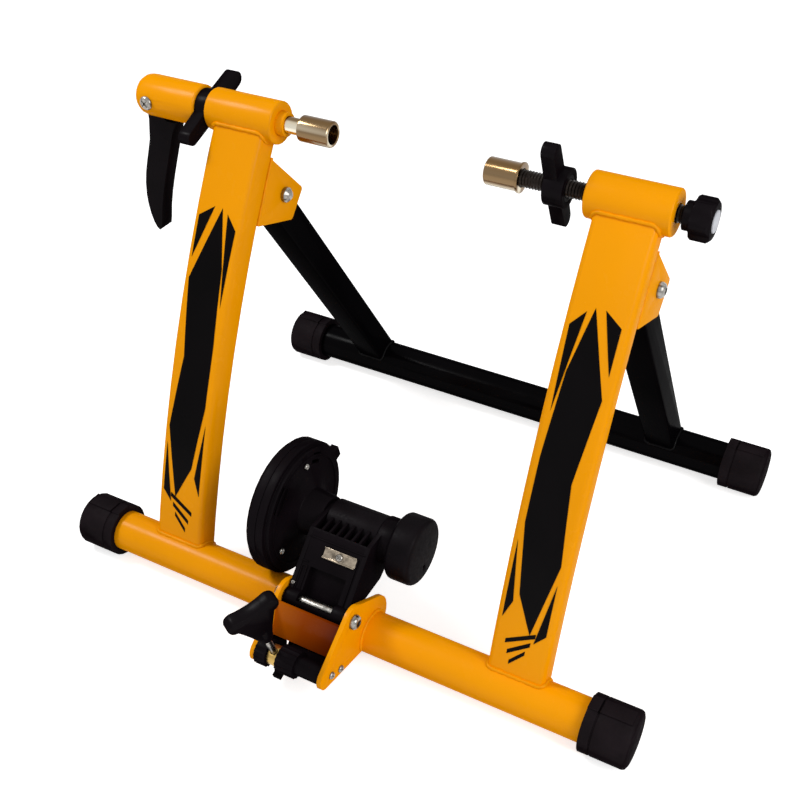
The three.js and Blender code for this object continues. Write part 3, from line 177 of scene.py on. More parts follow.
def object_pattern(tree, scale, detail, stretch=(1, 1, 1)):
    """Noise on the object's own coordinates; the scale counts waves in a metre."""
    place = tree.nodes.new("ShaderNodeTexCoord")
    mapping = tree.nodes.new("ShaderNodeMapping")
    mapping.inputs["Scale"].default_value = stretch
    noise = tree.nodes.new("ShaderNodeTexNoise")
    noise.inputs["Scale"].default_value = scale
    noise.inputs["Detail"].default_value = detail
    tree.links.new(place.outputs["Object"], mapping.inputs["Vector"])
    tree.links.new(mapping.outputs["Vector"], noise.inputs["Vector"])
    return noise.outputs["Fac"]


def ramp(tree, value, stops):
    """A colour that runs through the stops, each a place from 0 to 1 and a shade."""
    node = tree.nodes.new("ShaderNodeValToRGB")
    elements = node.color_ramp.elements
    for element, (place, shade) in zip(elements, (stops[0], stops[-1])):
        element.position = place
        element.color = (*shade, 1)
    for place, shade in stops[1:-1]:
        elements.new(place).color = (*shade, 1)
    tree.links.new(value, node.inputs["Fac"])
    return node.outputs["Color"]


def spread(tree, value, low, high):
    """Noise widened to run from low to high."""
    node = tree.nodes.new("ShaderNodeMapRange")
    node.inputs["From Min"].default_value = NOISE_LOW
    node.inputs["From Max"].default_value = NOISE_HIGH
    node.inputs["To Min"].default_value = low
    node.inputs["To Max"].default_value = high
    tree.links.new(value, node.inputs["Value"])
    return node.outputs["Result"]


def tint(colour, share):
    """The colour made lighter or darker by a share."""
    return tuple(min(1.0, c * share) for c in colour)


def raise_surface(tree, shader, height, strength, distance):
    """Fine relief in the shading."""
    bump = tree.nodes.new("ShaderNodeBump")
    bump.inputs["Strength"].default_value = strength
    bump.inputs["Distance"].default_value = distance
    tree.links.new(height, bump.inputs["Height"])
    tree.links.new(bump.outputs["Normal"], shader.inputs["Normal"])


def fade_at_grazing(tree, shader, specular):
    """Lets the gloss die away where the surface is seen edge on, as on a dull or deep finish."""
    facing = tree.nodes.new("ShaderNodeLayerWeight")
    facing.inputs["Blend"].default_value = 0.5
    level = tree.nodes.new("ShaderNodeMapRange")
    level.inputs["From Min"].default_value = GRAZING_FROM
    level.inputs["From Max"].default_value = GRAZING_TO
    level.inputs["To Min"].default_value = specular
    level.inputs["To Max"].default_value = specular * GRAZING_SHARE
    tree.links.new(facing.outputs["Facing"], level.inputs["Value"])
    tree.links.new(level.outputs["Result"], shader.inputs["Specular IOR Level"])


def patterned(name, colour, roughness, metallic=0.0, specular=0.5, mottle=None,
              sheen=(140, 0.9, 1.12), grain=(1500, 0.1, 0.04 * MM), stretch=(1, 1, 1)):
    """A finish with slow colour variation, uneven gloss and a fine surface texture.

    mottle and sheen are waves in a metre and the lowest and highest share; grain is waves, strength and depth.
    """
    material, tree, shader = surface(name, colour, roughness, metallic, specular)
    if metallic < 0.5:
        fade_at_grazing(tree, shader, specular)
    if mottle:
        slow = object_pattern(tree, mottle[0], 3)
        shade = ramp(tree, slow, [(NOISE_LOW, tint(colour, mottle[1])), (NOISE_HIGH, tint(colour, mottle[2]))])
        tree.links.new(shade, shader.inputs["Base Color"])
    gloss = object_pattern(tree, sheen[0], 4, stretch)
    tree.links.new(spread(tree, gloss, roughness * sheen[1], roughness * sheen[2]), shader.inputs["Roughness"])
    fine = object_pattern(tree, grain[0], 2, stretch)
    raise_surface(tree, shader, fine, grain[1], grain[2])
    return material


def streaked_with_painted_reflections(name, stops, roughness, scale, sheen=(380, 0.7, 1.5), grain=(900, 0.06, 0.02 * MM), stretch=(1, 8, 8)):
    """A polished plating whose tone runs in long streaks along X, as on a turned and plated sleeve; the streaks' dark
    and pale colours are also painted reflections and painted highlights.
    """
    material, tree, shader = surface(name, stops[0][1], roughness, 1.0)
    streaks = object_pattern(tree, scale, 1, (0.02, 1, 1))
    tree.links.new(ramp(tree, streaks, stops), shader.inputs["Base Color"])
    gloss = object_pattern(tree, sheen[0], 4, stretch)
    tree.links.new(spread(tree, gloss, roughness * sheen[1], roughness * sheen[2]), shader.inputs["Roughness"])
    fine = object_pattern(tree, grain[0], 2, stretch)
    raise_surface(tree, shader, fine, grain[1], grain[2])
    return material


def paint_web_shade(material, colour):
    """Paints shade into the enamel of the web between the bracket's ears: deep orange at its left end, darkening to
    near black at its right end.
    """
    tree = material.node_tree
    shader = tree.nodes["Principled BSDF"]
    place = tree.nodes.new("ShaderNodeTexCoord")
    parts = tree.nodes.new("ShaderNodeSeparateXYZ")
    across = tree.nodes.new("ShaderNodeMapRange")
    half = (EAR_INNER + 1) * MM
    across.inputs["From Min"].default_value = MID_X - half
    across.inputs["From Max"].default_value = MID_X + half
    tree.links.new(place.outputs["Object"], parts.inputs["Vector"])
    tree.links.new(parts.outputs["X"], across.inputs["Value"])
    # painted shade: the web's colour runs from a deep orange to near black across it
    shade = ramp(tree, across.outputs["Result"], [
        (0.015, colour), (0.02, (0.5, 0.12, 0.001)), (0.45, (0.3, 0.05, 0.001)), (0.98, (0.12, 0.013, 0.001)),
        (0.985, colour)])
    tree.links.new(shade, shader.inputs["Base Color"])
    return material


def make_finishes(colours):
    """Every finish under a short name, from the colours that the user can change."""
    return {
        "enamel": patterned("yellow_enamel", tuple(colours.enamel), 0.24, specular=0.1,
                            mottle=(7, 0.93, 1.03), sheen=(60, 0.85, 1.25), grain=(420, 0.12, 0.08 * MM)),
        "dark_enamel": patterned("black_enamel", tuple(colours.dark_enamel), 0.2, specular=0.02,
                                 mottle=(11, 0.7, 1.4), sheen=(70, 0.8, 1.3), grain=(420, 0.12, 0.08 * MM)),
        "plastic": patterned("black_moulded_plastic", tuple(colours.plastic), 0.42, specular=0.035,
                             mottle=(30, 0.75, 1.3), sheen=(220, 0.85, 1.2), grain=(2600, 0.22, 0.06 * MM)),
        "glossy_plastic": patterned("black_smooth_plastic", tuple(colours.plastic), 0.3, specular=0.045,
                                    mottle=(30, 0.75, 1.3), sheen=(160, 0.85, 1.2), grain=(1800, 0.1, 0.04 * MM)),
        "rubber": patterned("black_rubber", tuple(colours.rubber), 0.6, specular=0.05, mottle=(40, 0.7, 1.4),
                            sheen=(260, 0.85, 1.15), grain=(1900, 0.35, 0.09 * MM)),
        "zinc": patterned("zinc_plated_steel", (0.33, 0.315, 0.29), 0.24, metallic=1.0, mottle=(260, 0.4, 1.3),
                          sheen=(500, 0.8, 1.35), grain=(1600, 0.14, 0.03 * MM), stretch=(1, 6, 6)),
        # Nickel streaks: turning marks, with painted reflections in the dark brown stops and painted highlights in
        # the pale ones.
        "nickel": streaked_with_painted_reflections("nickel_plated_steel", [
            (0.3, (0.05, 0.022, 0.01)), (0.4, (0.17, 0.1, 0.04)), (0.56, (0.21, 0.14, 0.075)),
            (0.63, (0.58, 0.5, 0.37)), (0.7, (0.78, 0.74, 0.62))], 0.14, 62),
        # The unit bracket's enamel carries painted shade on the web between its ears.
        "bracket": paint_web_shade(patterned("bracket_enamel_with_painted_shade", tuple(colours.enamel), 0.24, specular=0.1,
                                      sheen=(60, 0.85, 1.25), grain=(420, 0.12, 0.08 * MM)), tuple(colours.enamel)),
        "black_steel": patterned("black_oxide_steel", (0.0045, 0.0033, 0.0042), 0.42, metallic=0.1, specular=0.045,
                                 mottle=(50, 0.7, 1.4), sheen=(420, 0.8, 1.3), grain=(1700, 0.16, 0.04 * MM)),
        "clip_steel": patterned("bright_clip_steel", (0.31, 0.26, 0.2), 0.2, metallic=1.0, mottle=(150, 0.4, 1.9),
                                sheen=(500, 0.8, 1.3), grain=(1600, 0.14, 0.03 * MM)),
        "screw_steel": patterned("oiled_screw_steel", (0.016, 0.012, 0.01), 0.3, metallic=0.5, specular=0.12,
                                 mottle=(50, 0.7, 1.4), sheen=(420, 0.8, 1.3), grain=(1700, 0.16, 0.04 * MM)),
        "brass": patterned("turned_brass", (0.5, 0.33, 0.1), 0.3, metallic=1.0, mottle=(50, 0.85, 1.1),
                           sheen=(600, 0.8, 1.3), grain=(1500, 0.12, 0.03 * MM), stretch=(6, 1, 1)),
        "aluminium": patterned("plain_aluminium", (0.6, 0.61, 0.62), 0.34, metallic=1.0, mottle=(40, 0.9, 1.06),
                               sheen=(500, 0.8, 1.3), grain=(1500, 0.12, 0.03 * MM)),
        "magnet": patterned("magnet_plating", (0.3, 0.3, 0.31), 0.36, metallic=1.0, mottle=(60, 0.85, 1.1),
                            sheen=(500, 0.8, 1.3), grain=(1500, 0.12, 0.03 * MM)),
        "white": patterned("white_cap_plastic", (0.58, 0.59, 0.63), 0.34, specular=0.3, mottle=(60, 0.94, 1.03),
                           sheen=(300, 0.9, 1.15), grain=(1800, 0.1, 0.04 * MM)),
        "panel": patterned("black_panel_film", tuple(colours.panel), 0.18, specular=0.05, mottle=(20, 0.7, 1.4),
                           sheen=(90, 0.85, 1.2), grain=(600, 0.06, 0.04 * MM)),
        "weld": patterned("enamelled_weld", tuple(colours.enamel), 0.34, specular=0.1,
                          mottle=(60, 0.86, 1.02), sheen=(200, 0.85, 1.25), grain=(260, 0.6, 0.5 * MM)),
        "dark_weld": patterned("black_enamelled_weld", tuple(colours.dark_enamel), 0.3, specular=0.06,
                               mottle=(60, 0.8, 1.3), sheen=(200, 0.85, 1.25), grain=(260, 0.6, 0.5 * MM)),
    }


FINISH = {}


def finish(name):
    """The finish of that short name; all are made at the first call."""
    if not FINISH:
        FINISH.update(make_finishes(bpy.context.scene.trainer_colours))
    return FINISH[name]


def give_finish(piece, material):
    """Puts one material and smooth shading on a mesh piece."""
    piece.data.materials.clear()
    piece.data.materials.append(material)
    for polygon in piece.data.polygons:
        polygon.use_smooth = True


def soften(piece, round_width):
    """Rounds the edges and keeps the sharp ones sharp in the shading."""
    if round_width > 0:
        bevel = piece.modifiers.new("edge_round", "BEVEL")
        bevel.width = round_width
        bevel.segments = BEVEL_SEGMENTS
        bevel.limit_method = "ANGLE"
        bevel.angle_limit = BEVEL_ANGLE
        bevel.use_clamp_overlap = True
    edges = piece.modifiers.new("edge_split", "EDGE_SPLIT")
    edges.split_angle = SPLIT_ANGLE


def mesh_of(build, name):
    """Closed mesh data from a bmesh that the build function fills."""
    shape = bmesh.new()
    build(shape)
    bmesh.ops.remove_doubles(shape, verts=shape.verts, dist=MERGE_DISTANCE)
    bmesh.ops.recalc_face_normals(shape, faces=shape.faces)
    data = bpy.data.meshes.new(name)
    shape.to_mesh(data)
    shape.free()
    return data


def make_piece(build, name, body, material, replaces=(), round_width=0.0):
    """Makes a piece of the mesh that the build function fills, dresses it and ties it to its body."""
    piece = bpy.data.objects.new(name, mesh_of(build, name))
    bpy.context.scene.collection.objects.link(piece)
    give_finish(piece, material)
    soften(piece, round_width)
    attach(piece, body)
    if replaces:
        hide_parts(*replaces)


def extruded_verts(result):
    """The new vertices of an extrusion."""
    return [item for item in result["geom"] if isinstance(item, bmesh.types.BMVert)]


def turned(shape, profile, centre, axis, sides, outline=None, rings=()):
    """Spins a profile of (along, radius) in millimetres about an axis; outline bends the rings of those numbers."""
    axis = Vector(axis).normalized()
    across = axis.orthogonal().normalized()
    marks = shape.verts.layers.int.get("ring") or shape.verts.layers.int.new("ring")
    verts = [shape.verts.new(centre + (axis * a + across * r) * MM) for a, r in profile]
    edges = [shape.edges.new(pair) for pair in zip(verts, verts[1:])]
    for index, vert in enumerate(verts):
        vert[marks] = index + 1
    bmesh.ops.spin(shape, geom=verts + edges, cent=centre, axis=axis, angle=TURN, steps=sides, use_merge=True)
    if outline:
        side = axis.cross(across)
        for vert in shape.verts:
            if vert[marks] - 1 in rings:
                arm = vert.co - centre
                along = axis * arm.dot(axis)
                angle = math.atan2(arm.dot(side), arm.dot(across))
                vert.co = centre + along + (arm - along) * outline(angle)
    for vert in shape.verts:
        vert[marks] = 0


# The finish of each CAD node, and the width in millimetres to which its edges are rounded
DRESS = {
    "enamel": {
        0.0: ("front_tube", "left_upright", "right_upright"),
        0.5: ("left_clamp_barrel", "right_clamp_barrel", "left_hinge_bracket", "right_hinge_bracket"),
        0.6: ("lever_housing",)},
    # The unit bracket's finish has painted shade on the web between its ears.
    "bracket": {0.5: ("unit_bracket",)},
    "dark_enamel": {0.0: ("rear_tube", "left_leg", "right_leg")},
    "rubber": {1.6: ("front_left_foot", "front_right_foot", "rear_left_foot", "rear_right_foot")},
    "plastic": {
        0.5: ("roller_arm", "magnet_cover_inner", "magnet_cover_outer", "left_adjuster_block", "right_adjuster_block",
              "left_fold_bush", "right_fold_bush")},
    "glossy_plastic": {
        4.5: ("cam_lever",),
        1.3: ("adjuster_knob", "left_lock_nut", "right_lock_nut"),
        0.9: ("right_screw_knob",)},
    "zinc": {
        0.3: ("arm_pivot_sleeve", "left_bearing", "right_bearing", "roller_axle", "adjuster_rod", "left_fold_nut",
              "right_fold_nut", "arm_pivot_nut"),
        0.0: ("plunger_spring",)},
    "nickel": {0.4: ("left_axle_cup", "right_axle_cup", "plunger")},
    "black_steel": {0.4: ("roller", "right_nut_insert"), 1.4: ("flywheel",)},
    "screw_steel": {0.15: ("right_screw",)},
    "brass": {0.3: ("adjuster_nut",)},
    "aluminium": {0.3: ("rotor_disc",)},
    "magnet": {0.3: ("magnet_plate",)},
    "white": {0.4: ("knob_cap_disc",)},
}


def dress_node(node, material, round_width):
    """Gives a CAD node its finish, rounded edges and smooth shading."""
    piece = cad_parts[node]
    give_finish(piece, material)
    weld = piece.modifiers.new("weld", "WELD")
    weld.merge_threshold = WELD_DISTANCE
    soften(piece, round_width)


class TRAINER_OT_dress_nodes(Operator):
    """Give the tubes, plates, mouldings and turned parts their finishes and rounded edges"""
    bl_idname = "trainer.dress_nodes"
    bl_label = "Dress the modelled parts"

    def execute(self, context):
        share = context.scene.trainer_sizes.edge_round / EDGE_ROUND
        for name, widths in DRESS.items():
            for width, nodes in widths.items():
                for node in nodes:
                    dress_node(node, finish(name), width * MM * share)
        return {"FINISHED"}


# Weld beads: how far they stand outside a section, a tube, the barrel and the ears, and how full the thinner ones are
SECTION_LIFT, TUBE_LIFT, BARREL_LIFT = 0.6, 0.2, 0.1
PLATE_LIFT, EAR_TUBE_LIFT, BRACKET_EDGE_INSET = 0.4, 0.6, 1.2
BRACKET_WELD_SHARE, EAR_WELD_SHARE = 0.8, 0.9
LEG_CORNER = 3.0
CORNER_STEPS = 5
BEAD_STEP = 2.4
# Two waves along a bead: the share of its radius and the angle from one point to the next
BEAD_SWELL, SWELL_TURN = 0.16, 2.1
BEAD_RIPPLE, RIPPLE_TURN = 0.08, 5.3
# Lengths along the upright and degrees round the front tube
BRACKET_WELD_RUN = range(314, 374, 2)
EAR_WELD_RUN = range(-34, 196, 5)


def bead(name, body, material, paths, radius):
    """Weld beads as round curves; each path is its points in metres and whether it closes."""
    curve = bpy.data.curves.new(name, "CURVE")
    curve.dimensions = "3D"
    curve.bevel_depth = radius
    curve.bevel_resolution = 3
    curve.use_fill_caps = True
    for points, closed in paths:
        spline = curve.splines.new("POLY")
        spline.points.add(len(points) - 1)
        for index, point in enumerate(points):
            swell = BEAD_SWELL * math.sin(index * SWELL_TURN)
            spline.points[index].co = (*point, 1)
            spline.points[index].radius = 1 + swell + BEAD_RIPPLE * math.sin(index * RIPPLE_TURN)
        spline.use_cyclic_u = closed
        spline.use_smooth = True
    curve.materials.append(material)
    piece = bpy.data.objects.new(name, curve)
    bpy.context.scene.collection.objects.link(piece)
    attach(piece, body)


def round_rectangle(width, depth, corner):
    """Points round a rounded rectangle that stands a little outside a post, as across and behind."""
    width, depth = width + SECTION_LIFT, depth + SECTION_LIFT
    points = []
    for index, (sx, sy) in enumerate(((1, -1), (1, 1), (-1, 1), (-1, -1))):
        for i in range(CORNER_STEPS + 1):
            angle = math.pi / 2 * (index - 1 + i / CORNER_STEPS)
            points.append((sx * (width / 2 - corner) + corner * math.cos(angle),
                           sy * (depth / 2 - corner) + corner * math.sin(angle)))
    dense = []
    for (u0, v0), (u1, v1) in zip(points, points[1:] + points[:1]):
        count = max(1, int(math.hypot(u1 - u0, v1 - v0) / BEAD_STEP))
        dense += [(u0 + (u1 - u0) * i / count, v0 + (v1 - v0) * i / count) for i in range(count)]
    return dense


def seam(section, origin, along, behind, centre, radius, x):
    """Closed path where the section of a post meets a round tube along X."""
    path = []
    for u, v in section:
        start = origin + behind * v - centre
        b = start.dot(along)
        c = start.length_squared - radius * radius
        reach = -b + math.sqrt(max(0.0, b * b - c))
        point = centre + start + along * reach
        path.append(spot(x + u, point.x, point.y))
    return path, True


def directions(lean):
    """Along an upright and to its back, where it leans so, as y and z."""
    return Vector((math.sin(lean), math.cos(lean))), Vector((math.cos(lean), -math.sin(lean)))


def bracket_seam(x):
    """Open path up the back of an upright."""
    return [spot(x, *upright_place(s, UPRIGHT_DEPTH / 2 + PLATE_LIFT)) for s in BRACKET_WELD_RUN], False


def ear_seam(x):
    """Open path round the front tube, beside an ear."""
    radius = TUBE_RADIUS + EAR_TUBE_LIFT
    return [spot(x, FRONT_Y + radius * math.cos(a), TUBE_Z + radius * math.sin(a))
            for a in map(math.radians, EAR_WELD_RUN)], False


class TRAINER_OT_welds(Operator):
    """Lay the weld beads of both frames"""
    bl_idname = "trainer.welds"
    bl_label = "Lay the weld beads"

    def execute(self, context):
        radius = context.scene.trainer_sizes.weld_radius
        front_tube, rear_tube = Vector((FRONT_Y, TUBE_Z)), Vector((REAR_Y, TUBE_Z))
        foot_along, foot_behind = directions(upright_lean(0))
        top_along, top_behind = directions(upright_lean(ARC_LENGTH))
        leg_run = (LEG_FOOT - Vector((FOLD_Y, FOLD_Z))).normalized()
        leg_behind = Vector((-leg_run.y, leg_run.x))
        section = round_rectangle(UPRIGHT_WIDTH, UPRIGHT_DEPTH, UPRIGHT_CORNER)
        leg_section = round_rectangle(LEG_WIDTH, LEG_DEPTH, LEG_CORNER)
        for side, word in ((-1, "left"), (1, "right")):
            x = side * UPRIGHT_X
            inset = UPRIGHT_WIDTH / 2 - BRACKET_EDGE_INSET
            bead(f"{word}_upright_weld", "main_frame", finish("weld"), [
                seam(section, UPRIGHT_FOOT, foot_along, foot_behind, front_tube, TUBE_RADIUS + TUBE_LIFT, x),
                seam(section, CLAMP_MIDDLE, -top_along, top_behind, CLAMP_MIDDLE, BARREL_RADIUS + BARREL_LIFT, x),
            ], radius)
            bead(f"{word}_bracket_weld", "main_frame", finish("weld"),
                 [bracket_seam(x + edge * inset) for edge in (-1, 1)], radius * BRACKET_WELD_SHARE)
            bead(f"{word}_leg_weld", "rear_frame", finish("dark_weld"), [
                seam(leg_section, LEG_FOOT, -leg_run, leg_behind, rear_tube, TUBE_RADIUS + TUBE_LIFT, side * LEG_X),
            ], radius)
            bead(f"{word}_ear_weld", "main_frame", finish("weld"),
                 [ear_seam(side * (EAR_OUTER + PLATE_LIFT)), ear_seam(side * (EAR_INNER - PLATE_LIFT))],
                 radius * EAR_WELD_SHARE)
        return {"FINISHED"}


# Panels: outlines as places across the upright and lengths along its arc, drawn for the right upright
PANEL_OUTLINES = (
    ((-17, 204), (-13, 272), (-3, 322), (19, 258), (12, 190), (19, 124), (6, 58), (-9, 90), (-17, 150)),
    ((-19.5, 306), (-9, 318), (-17.5, 240)),
    ((19.5, 108), (19.5, 62), (10.5, 52)),
    ((-19.5, 134), (-13, 82), (-19.5, 66)),
    ((5, 322), (19.5, 312), (19.5, 276)),
)
PANEL_STRIP = 8
PANEL_GAP = 0.05
# Slanted bars: where the highest one's ends are and how much shorter each next one is at both, then its lower left
# corner's length along the arc, the pitch from bar to bar, the slant and the height
BAR_LEFT, BAR_RIGHT, BAR_INSET = -13, 11, 3
BAR_BASE, BAR_PITCH, BAR_SLANT, BAR_HEIGHT = 44, 9, 13, 4


def slanted_bar(number):
    """Outline of a slanted bar, counted down from the highest; each is shorter than the one above it."""
    base = BAR_BASE - number * BAR_PITCH
    left, right = BAR_LEFT + number * BAR_INSET, BAR_RIGHT - number * BAR_INSET
    return (left, base), (right, base + BAR_SLANT), (right, base + BAR_SLANT + BAR_HEIGHT), (left, base + BAR_HEIGHT)


def lay_panel(shape, outline, side, lift):
    """A thin closed film over a flat outline, cut across into strips that can bend."""
    shape.faces.new([shape.verts.new((side * u * MM, 0, s * MM)) for u, s in outline])
    low, top = min(s for _, s in outline), max(s for _, s in outline)
    for step in range(1, int((top - low) / PANEL_STRIP) + 1):
        bmesh.ops.bisect_plane(
            shape, geom=shape.verts[:] + shape.edges[:] + shape.faces[:],
            plane_co=(0, 0, (low + step * PANEL_STRIP) * MM), plane_no=(0, 0, 1))
    for vert in extruded_verts(bmesh.ops.extrude_face_region(shape, geom=shape.faces[:])):
        vert.co.y -= lift


def bend_on_upright(shape, x):
    """Bends a flat film along the front of the upright that stands at x."""
    for vert in shape.verts:
        u, depth, along = vert.co.x / MM, vert.co.y / MM, vert.co.z / MM
        y, z = upright_place(along, -UPRIGHT_DEPTH / 2 - PANEL_GAP + depth)
        vert.co = spot(x + u, y, z)


class TRAINER_OT_panels(Operator):
    """Lay the black panels and slanted bars on the uprights"""
    bl_idname = "trainer.panels"
    bl_label = "Lay the upright panels"

    def execute(self, context):
        sizes = context.scene.trainer_sizes
        outlines = (*PANEL_OUTLINES, *map(slanted_bar, range(sizes.bar_count)))
        for side, word in ((-1, "left"), (1, "right")):
            for number, outline in enumerate(outlines):
                def build(shape):
                    lay_panel(shape, outline, side, sizes.panel_lift)
                    bend_on_upright(shape, side * UPRIGHT_X)
                make_piece(build, f"{word}_panel_{number + 1}", "main_frame", finish("panel"))
        return {"FINISHED"}


# Fasteners: radius and height of a head, radius and length of its shank, sides of the shank
BOLT = (6.6, 5.2)
FOLD_SHANK = (4, 50, 24)
PIVOT_SHANK = (3, 70, 24)
BLOCK_SCREW, BLOCK_SHANK = (3.3, 1.9), (2, 6.8, 20)
COVER_SCREW, COVER_SHANK = (2.8, 1.8), (1.5, 15, 16)
PIN_HEAD, PIN_RADIUS, PIN_SHANK_SHORT, PIN_SIDES = (6, 3), 3, 2, 24
HEAD_SIDES = 48
SHANK_LAP = 0.1
# A head stands this far off the ear, and this far out from the upright's middle
EAR_HEAD_LIFT = 0.3
FOLD_HEAD_OUT = 25.3


def hexagon(angle):
    """Radius of a hexagon at an angle, as a share of its corners' radius."""
    step = TURN / 6
    inside = (angle % step) - step / 2
    return math.cos(step / 2) / math.cos(inside)


SLOT_HALF_ANGLE, SLOT_INNER = 0.22, 0.38


def cross_slot(angle):
    """Radius of a cross recess at an angle: full in its four arms and short between them."""
    off = abs((angle % (TURN / 4)) - TURN / 8)
    return 1.0 if off > TURN / 8 - SLOT_HALF_ANGLE else SLOT_INNER


# A recess's share of the head's radius and its outline, and the rings of a head's profile that it bends
RECESSES = {"hex": (0.5, hexagon), "cross": (0.62, cross_slot)}
RECESS_RINGS = (6, 7)


def bolt_head(shape, centre, axis, radius, height, recess, sides=HEAD_SIDES):
    """Domed head with a recess; the axis points out of the head."""
    share, outline = RECESSES[recess]
    socket = radius * share
    profile = [
        (0, 0), (0, radius), (height * 0.35, radius), (height * 0.72, radius * 0.86), (height * 0.94, radius * 0.66),
        (height, socket + 0.3), (height, socket), (height * 0.3, socket * 0.86), (height * 0.3, 0)]
    turned(shape, profile, centre, axis, sides, outline, RECESS_RINGS)


def fastener(node, name, body, centre, side, head, shank, recess):
    """A bolt or screw along X in place of a CAD node, its head to that side."""
    def build(shape):
        radius, length, sides = shank
        bolt_head(shape, centre, (side, 0, 0), *head, recess)
        turned(shape, [(-length, 0), (-length, radius), (SHANK_LAP, radius), (SHANK_LAP, 0)], centre, (side, 0, 0),
               sides)
    make_piece(build, name, body, finish("zinc"), (node,))


def box_middle(node):
    """Middle of a CAD node's box."""
    low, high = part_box(node)
    return (low + high) / 2


class TRAINER_OT_fasteners(Operator):
    """Make the bolts, the screws and the lever pin"""
    bl_idname = "trainer.fasteners"
    bl_label = "Make the bolts and screws"

    def execute(self, context):
        for side, word in ((-1, "left"), (1, "right")):
            fastener(f"{word}_fold_bolt", f"{word}_fold_bolt_domed", "main_frame",
                     spot(side * (UPRIGHT_X + FOLD_HEAD_OUT), FOLD_Y, FOLD_Z), side, BOLT, FOLD_SHANK, "hex")
        fastener("arm_pivot_bolt", "arm_pivot_bolt_domed", "main_frame",
                 spot(EAR_OUTER + EAR_HEAD_LIFT, PIVOT_Y, PIVOT_Z), 1, BOLT, PIVOT_SHANK, "hex")
        for number, side in enumerate((-1, -1, 1, 1), 1):
            node = f"block_screw_{number}"
            seat = box_middle(node)
            seat.x = MID_X + side * (EAR_OUTER + EAR_HEAD_LIFT) * MM
            fastener(node, f"{node}_pan", "main_frame", seat, side, BLOCK_SCREW, BLOCK_SHANK, "cross")
        for number in range(1, 4):
            node = f"cover_screw_{number}"
            seat = box_middle(node)
            seat.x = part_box(node)[1].x - COVER_SCREW[1] * MM
            fastener(node, f"{node}_pan", "roller_arm", seat, 1, COVER_SCREW, COVER_SHANK, "cross")
        self.make_lever_pin()
        return {"FINISHED"}

    def make_lever_pin(self):
        """A pin along Y with a head at each end, one with a cross recess and one with a hexagon."""
        low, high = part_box("lever_pin")
        middle = (low + high) / 2
        half = (high.y - low.y) / 2 / MM
        reach = half - PIN_SHANK_SHORT

        def build(shape):
            for side, recess in ((-1, "cross"), (1, "hex")):
                seat = middle + Vector((0, side * (half - PIN_HEAD[1]) * MM, 0))
                bolt_head(shape, seat, (0, side, 0), *PIN_HEAD, recess)
            turned(shape, [(-reach, 0), (-reach, PIN_RADIUS), (reach, PIN_RADIUS), (reach, 0)], middle, (0, 1, 0),
                   PIN_SIDES)
        make_piece(build, "lever_pin_domed", "lever_housing", finish("zinc"), ("lever_pin",))


def on_slope(x, up, out):
    """A place on the roller arm's sloping front: across, up the slope and out of it."""
    s, c = math.sin(SLOPE_ANGLE), math.cos(SLOPE_ANGLE)
    return spot(x, SLOPE_Y + up * c - out * s, SLOPE_Z + up * s + out * c)


SLOPE_OUT = on_slope(0, 0, 1) - on_slope(0, 0, 0)

# Spring clip: its section as places up and out of the slope, its middle and half length along X, and its sheet
CLIP_SECTION = ((48.7, 2.7), (48.9, 1.0), (49.6, 0.4), (57.4, 0.4), (58.1, 1.0), (58.3, 2.7))
CLIP_X, CLIP_HALF = 6.5, 15.5
CLIP_SHEET, CLIP_ROUND = 0.9, 0.2
CLIP_SCREW_PLACE, CLIP_SCREW = (CLIP_X - 0.5, 53.5, 1.3), (3.3, 1.7)


class TRAINER_OT_spring_clip(Operator):
    """Bend the bright spring clip and set its screw"""
    bl_idname = "trainer.spring_clip"
    bl_label = "Bend the spring clip"

    def execute(self, context):
        def clip(shape):
            row = [shape.verts.new(on_slope(CLIP_X - CLIP_HALF, up, out)) for up, out in CLIP_SECTION]
            edges = [shape.edges.new(pair) for pair in zip(row, row[1:])]
            for vert in extruded_verts(bmesh.ops.extrude_edge_only(shape, edges=edges)):
                vert.co.x += 2 * CLIP_HALF * MM
            bmesh.ops.recalc_face_normals(shape, faces=shape.faces)
            bmesh.ops.solidify(shape, geom=shape.faces[:], thickness=CLIP_SHEET * MM)
        make_piece(clip, "bent_clip", "roller_arm", finish("clip_steel"), ("spring_clip",),
                   CLIP_ROUND * MM)

        def screw(shape):
            bolt_head(shape, on_slope(*CLIP_SCREW_PLACE), SLOPE_OUT, *CLIP_SCREW, "cross")
        make_piece(screw, "clip_screw", "roller_arm", finish("zinc"))
        return {"FINISHED"}


# Magnet housing's ridges: radius, width and height. Arm's rails: outlines of x and lengths up the slope.
HOUSING_RIDGES = ((50.5, 0.9, 0.8), (30.5, 0.7, 0.6))
RIDGE_SINK, RIDGE_SIDES = 0.4, 96
RAIL_OUTLINES = (
    ((-25, 12), (-23.8, 12), (-23.8, 36.8), (-20.6, 36.8), (-20.6, 12), (-19.4, 12), (-19.4, 38), (-25, 38)),
    ((22, 12), (23.2, 12), (23.2, 58), (22, 58)),
    ((-27, 62), (27, 62), (27, 63.2), (-27, 63.2)),
    ((-27, 40.5), (-20, 40.5), (-20, 41.7), (-27, 41.7)),
)
RAIL_LOW, RAIL_HIGH, RAIL_ROUND = -0.3, 1.1, 0.25
RIVET_PLACE, RIVET, RIVET_SIDES = (-27.2, 20.5, 0.1), (1.9, 1.6), 24


def housing_ridge(shape, radius, width, height):
    """A low rounded ridge round the axle, on the outer face of the magnet housing."""
    profile = [(-RIDGE_SINK, radius - width), (height * 0.7, radius - width * 0.8), (height, radius - width * 0.3),
               (height, radius + width * 0.3), (height * 0.7, radius + width * 0.8), (-RIDGE_SINK, radius + width),
               (-RIDGE_SINK, radius - width)]
    turned(shape, profile, spot(HOUSING_FACE_X, AXLE_Y, AXLE_Z), (1, 0, 0), RIDGE_SIDES)


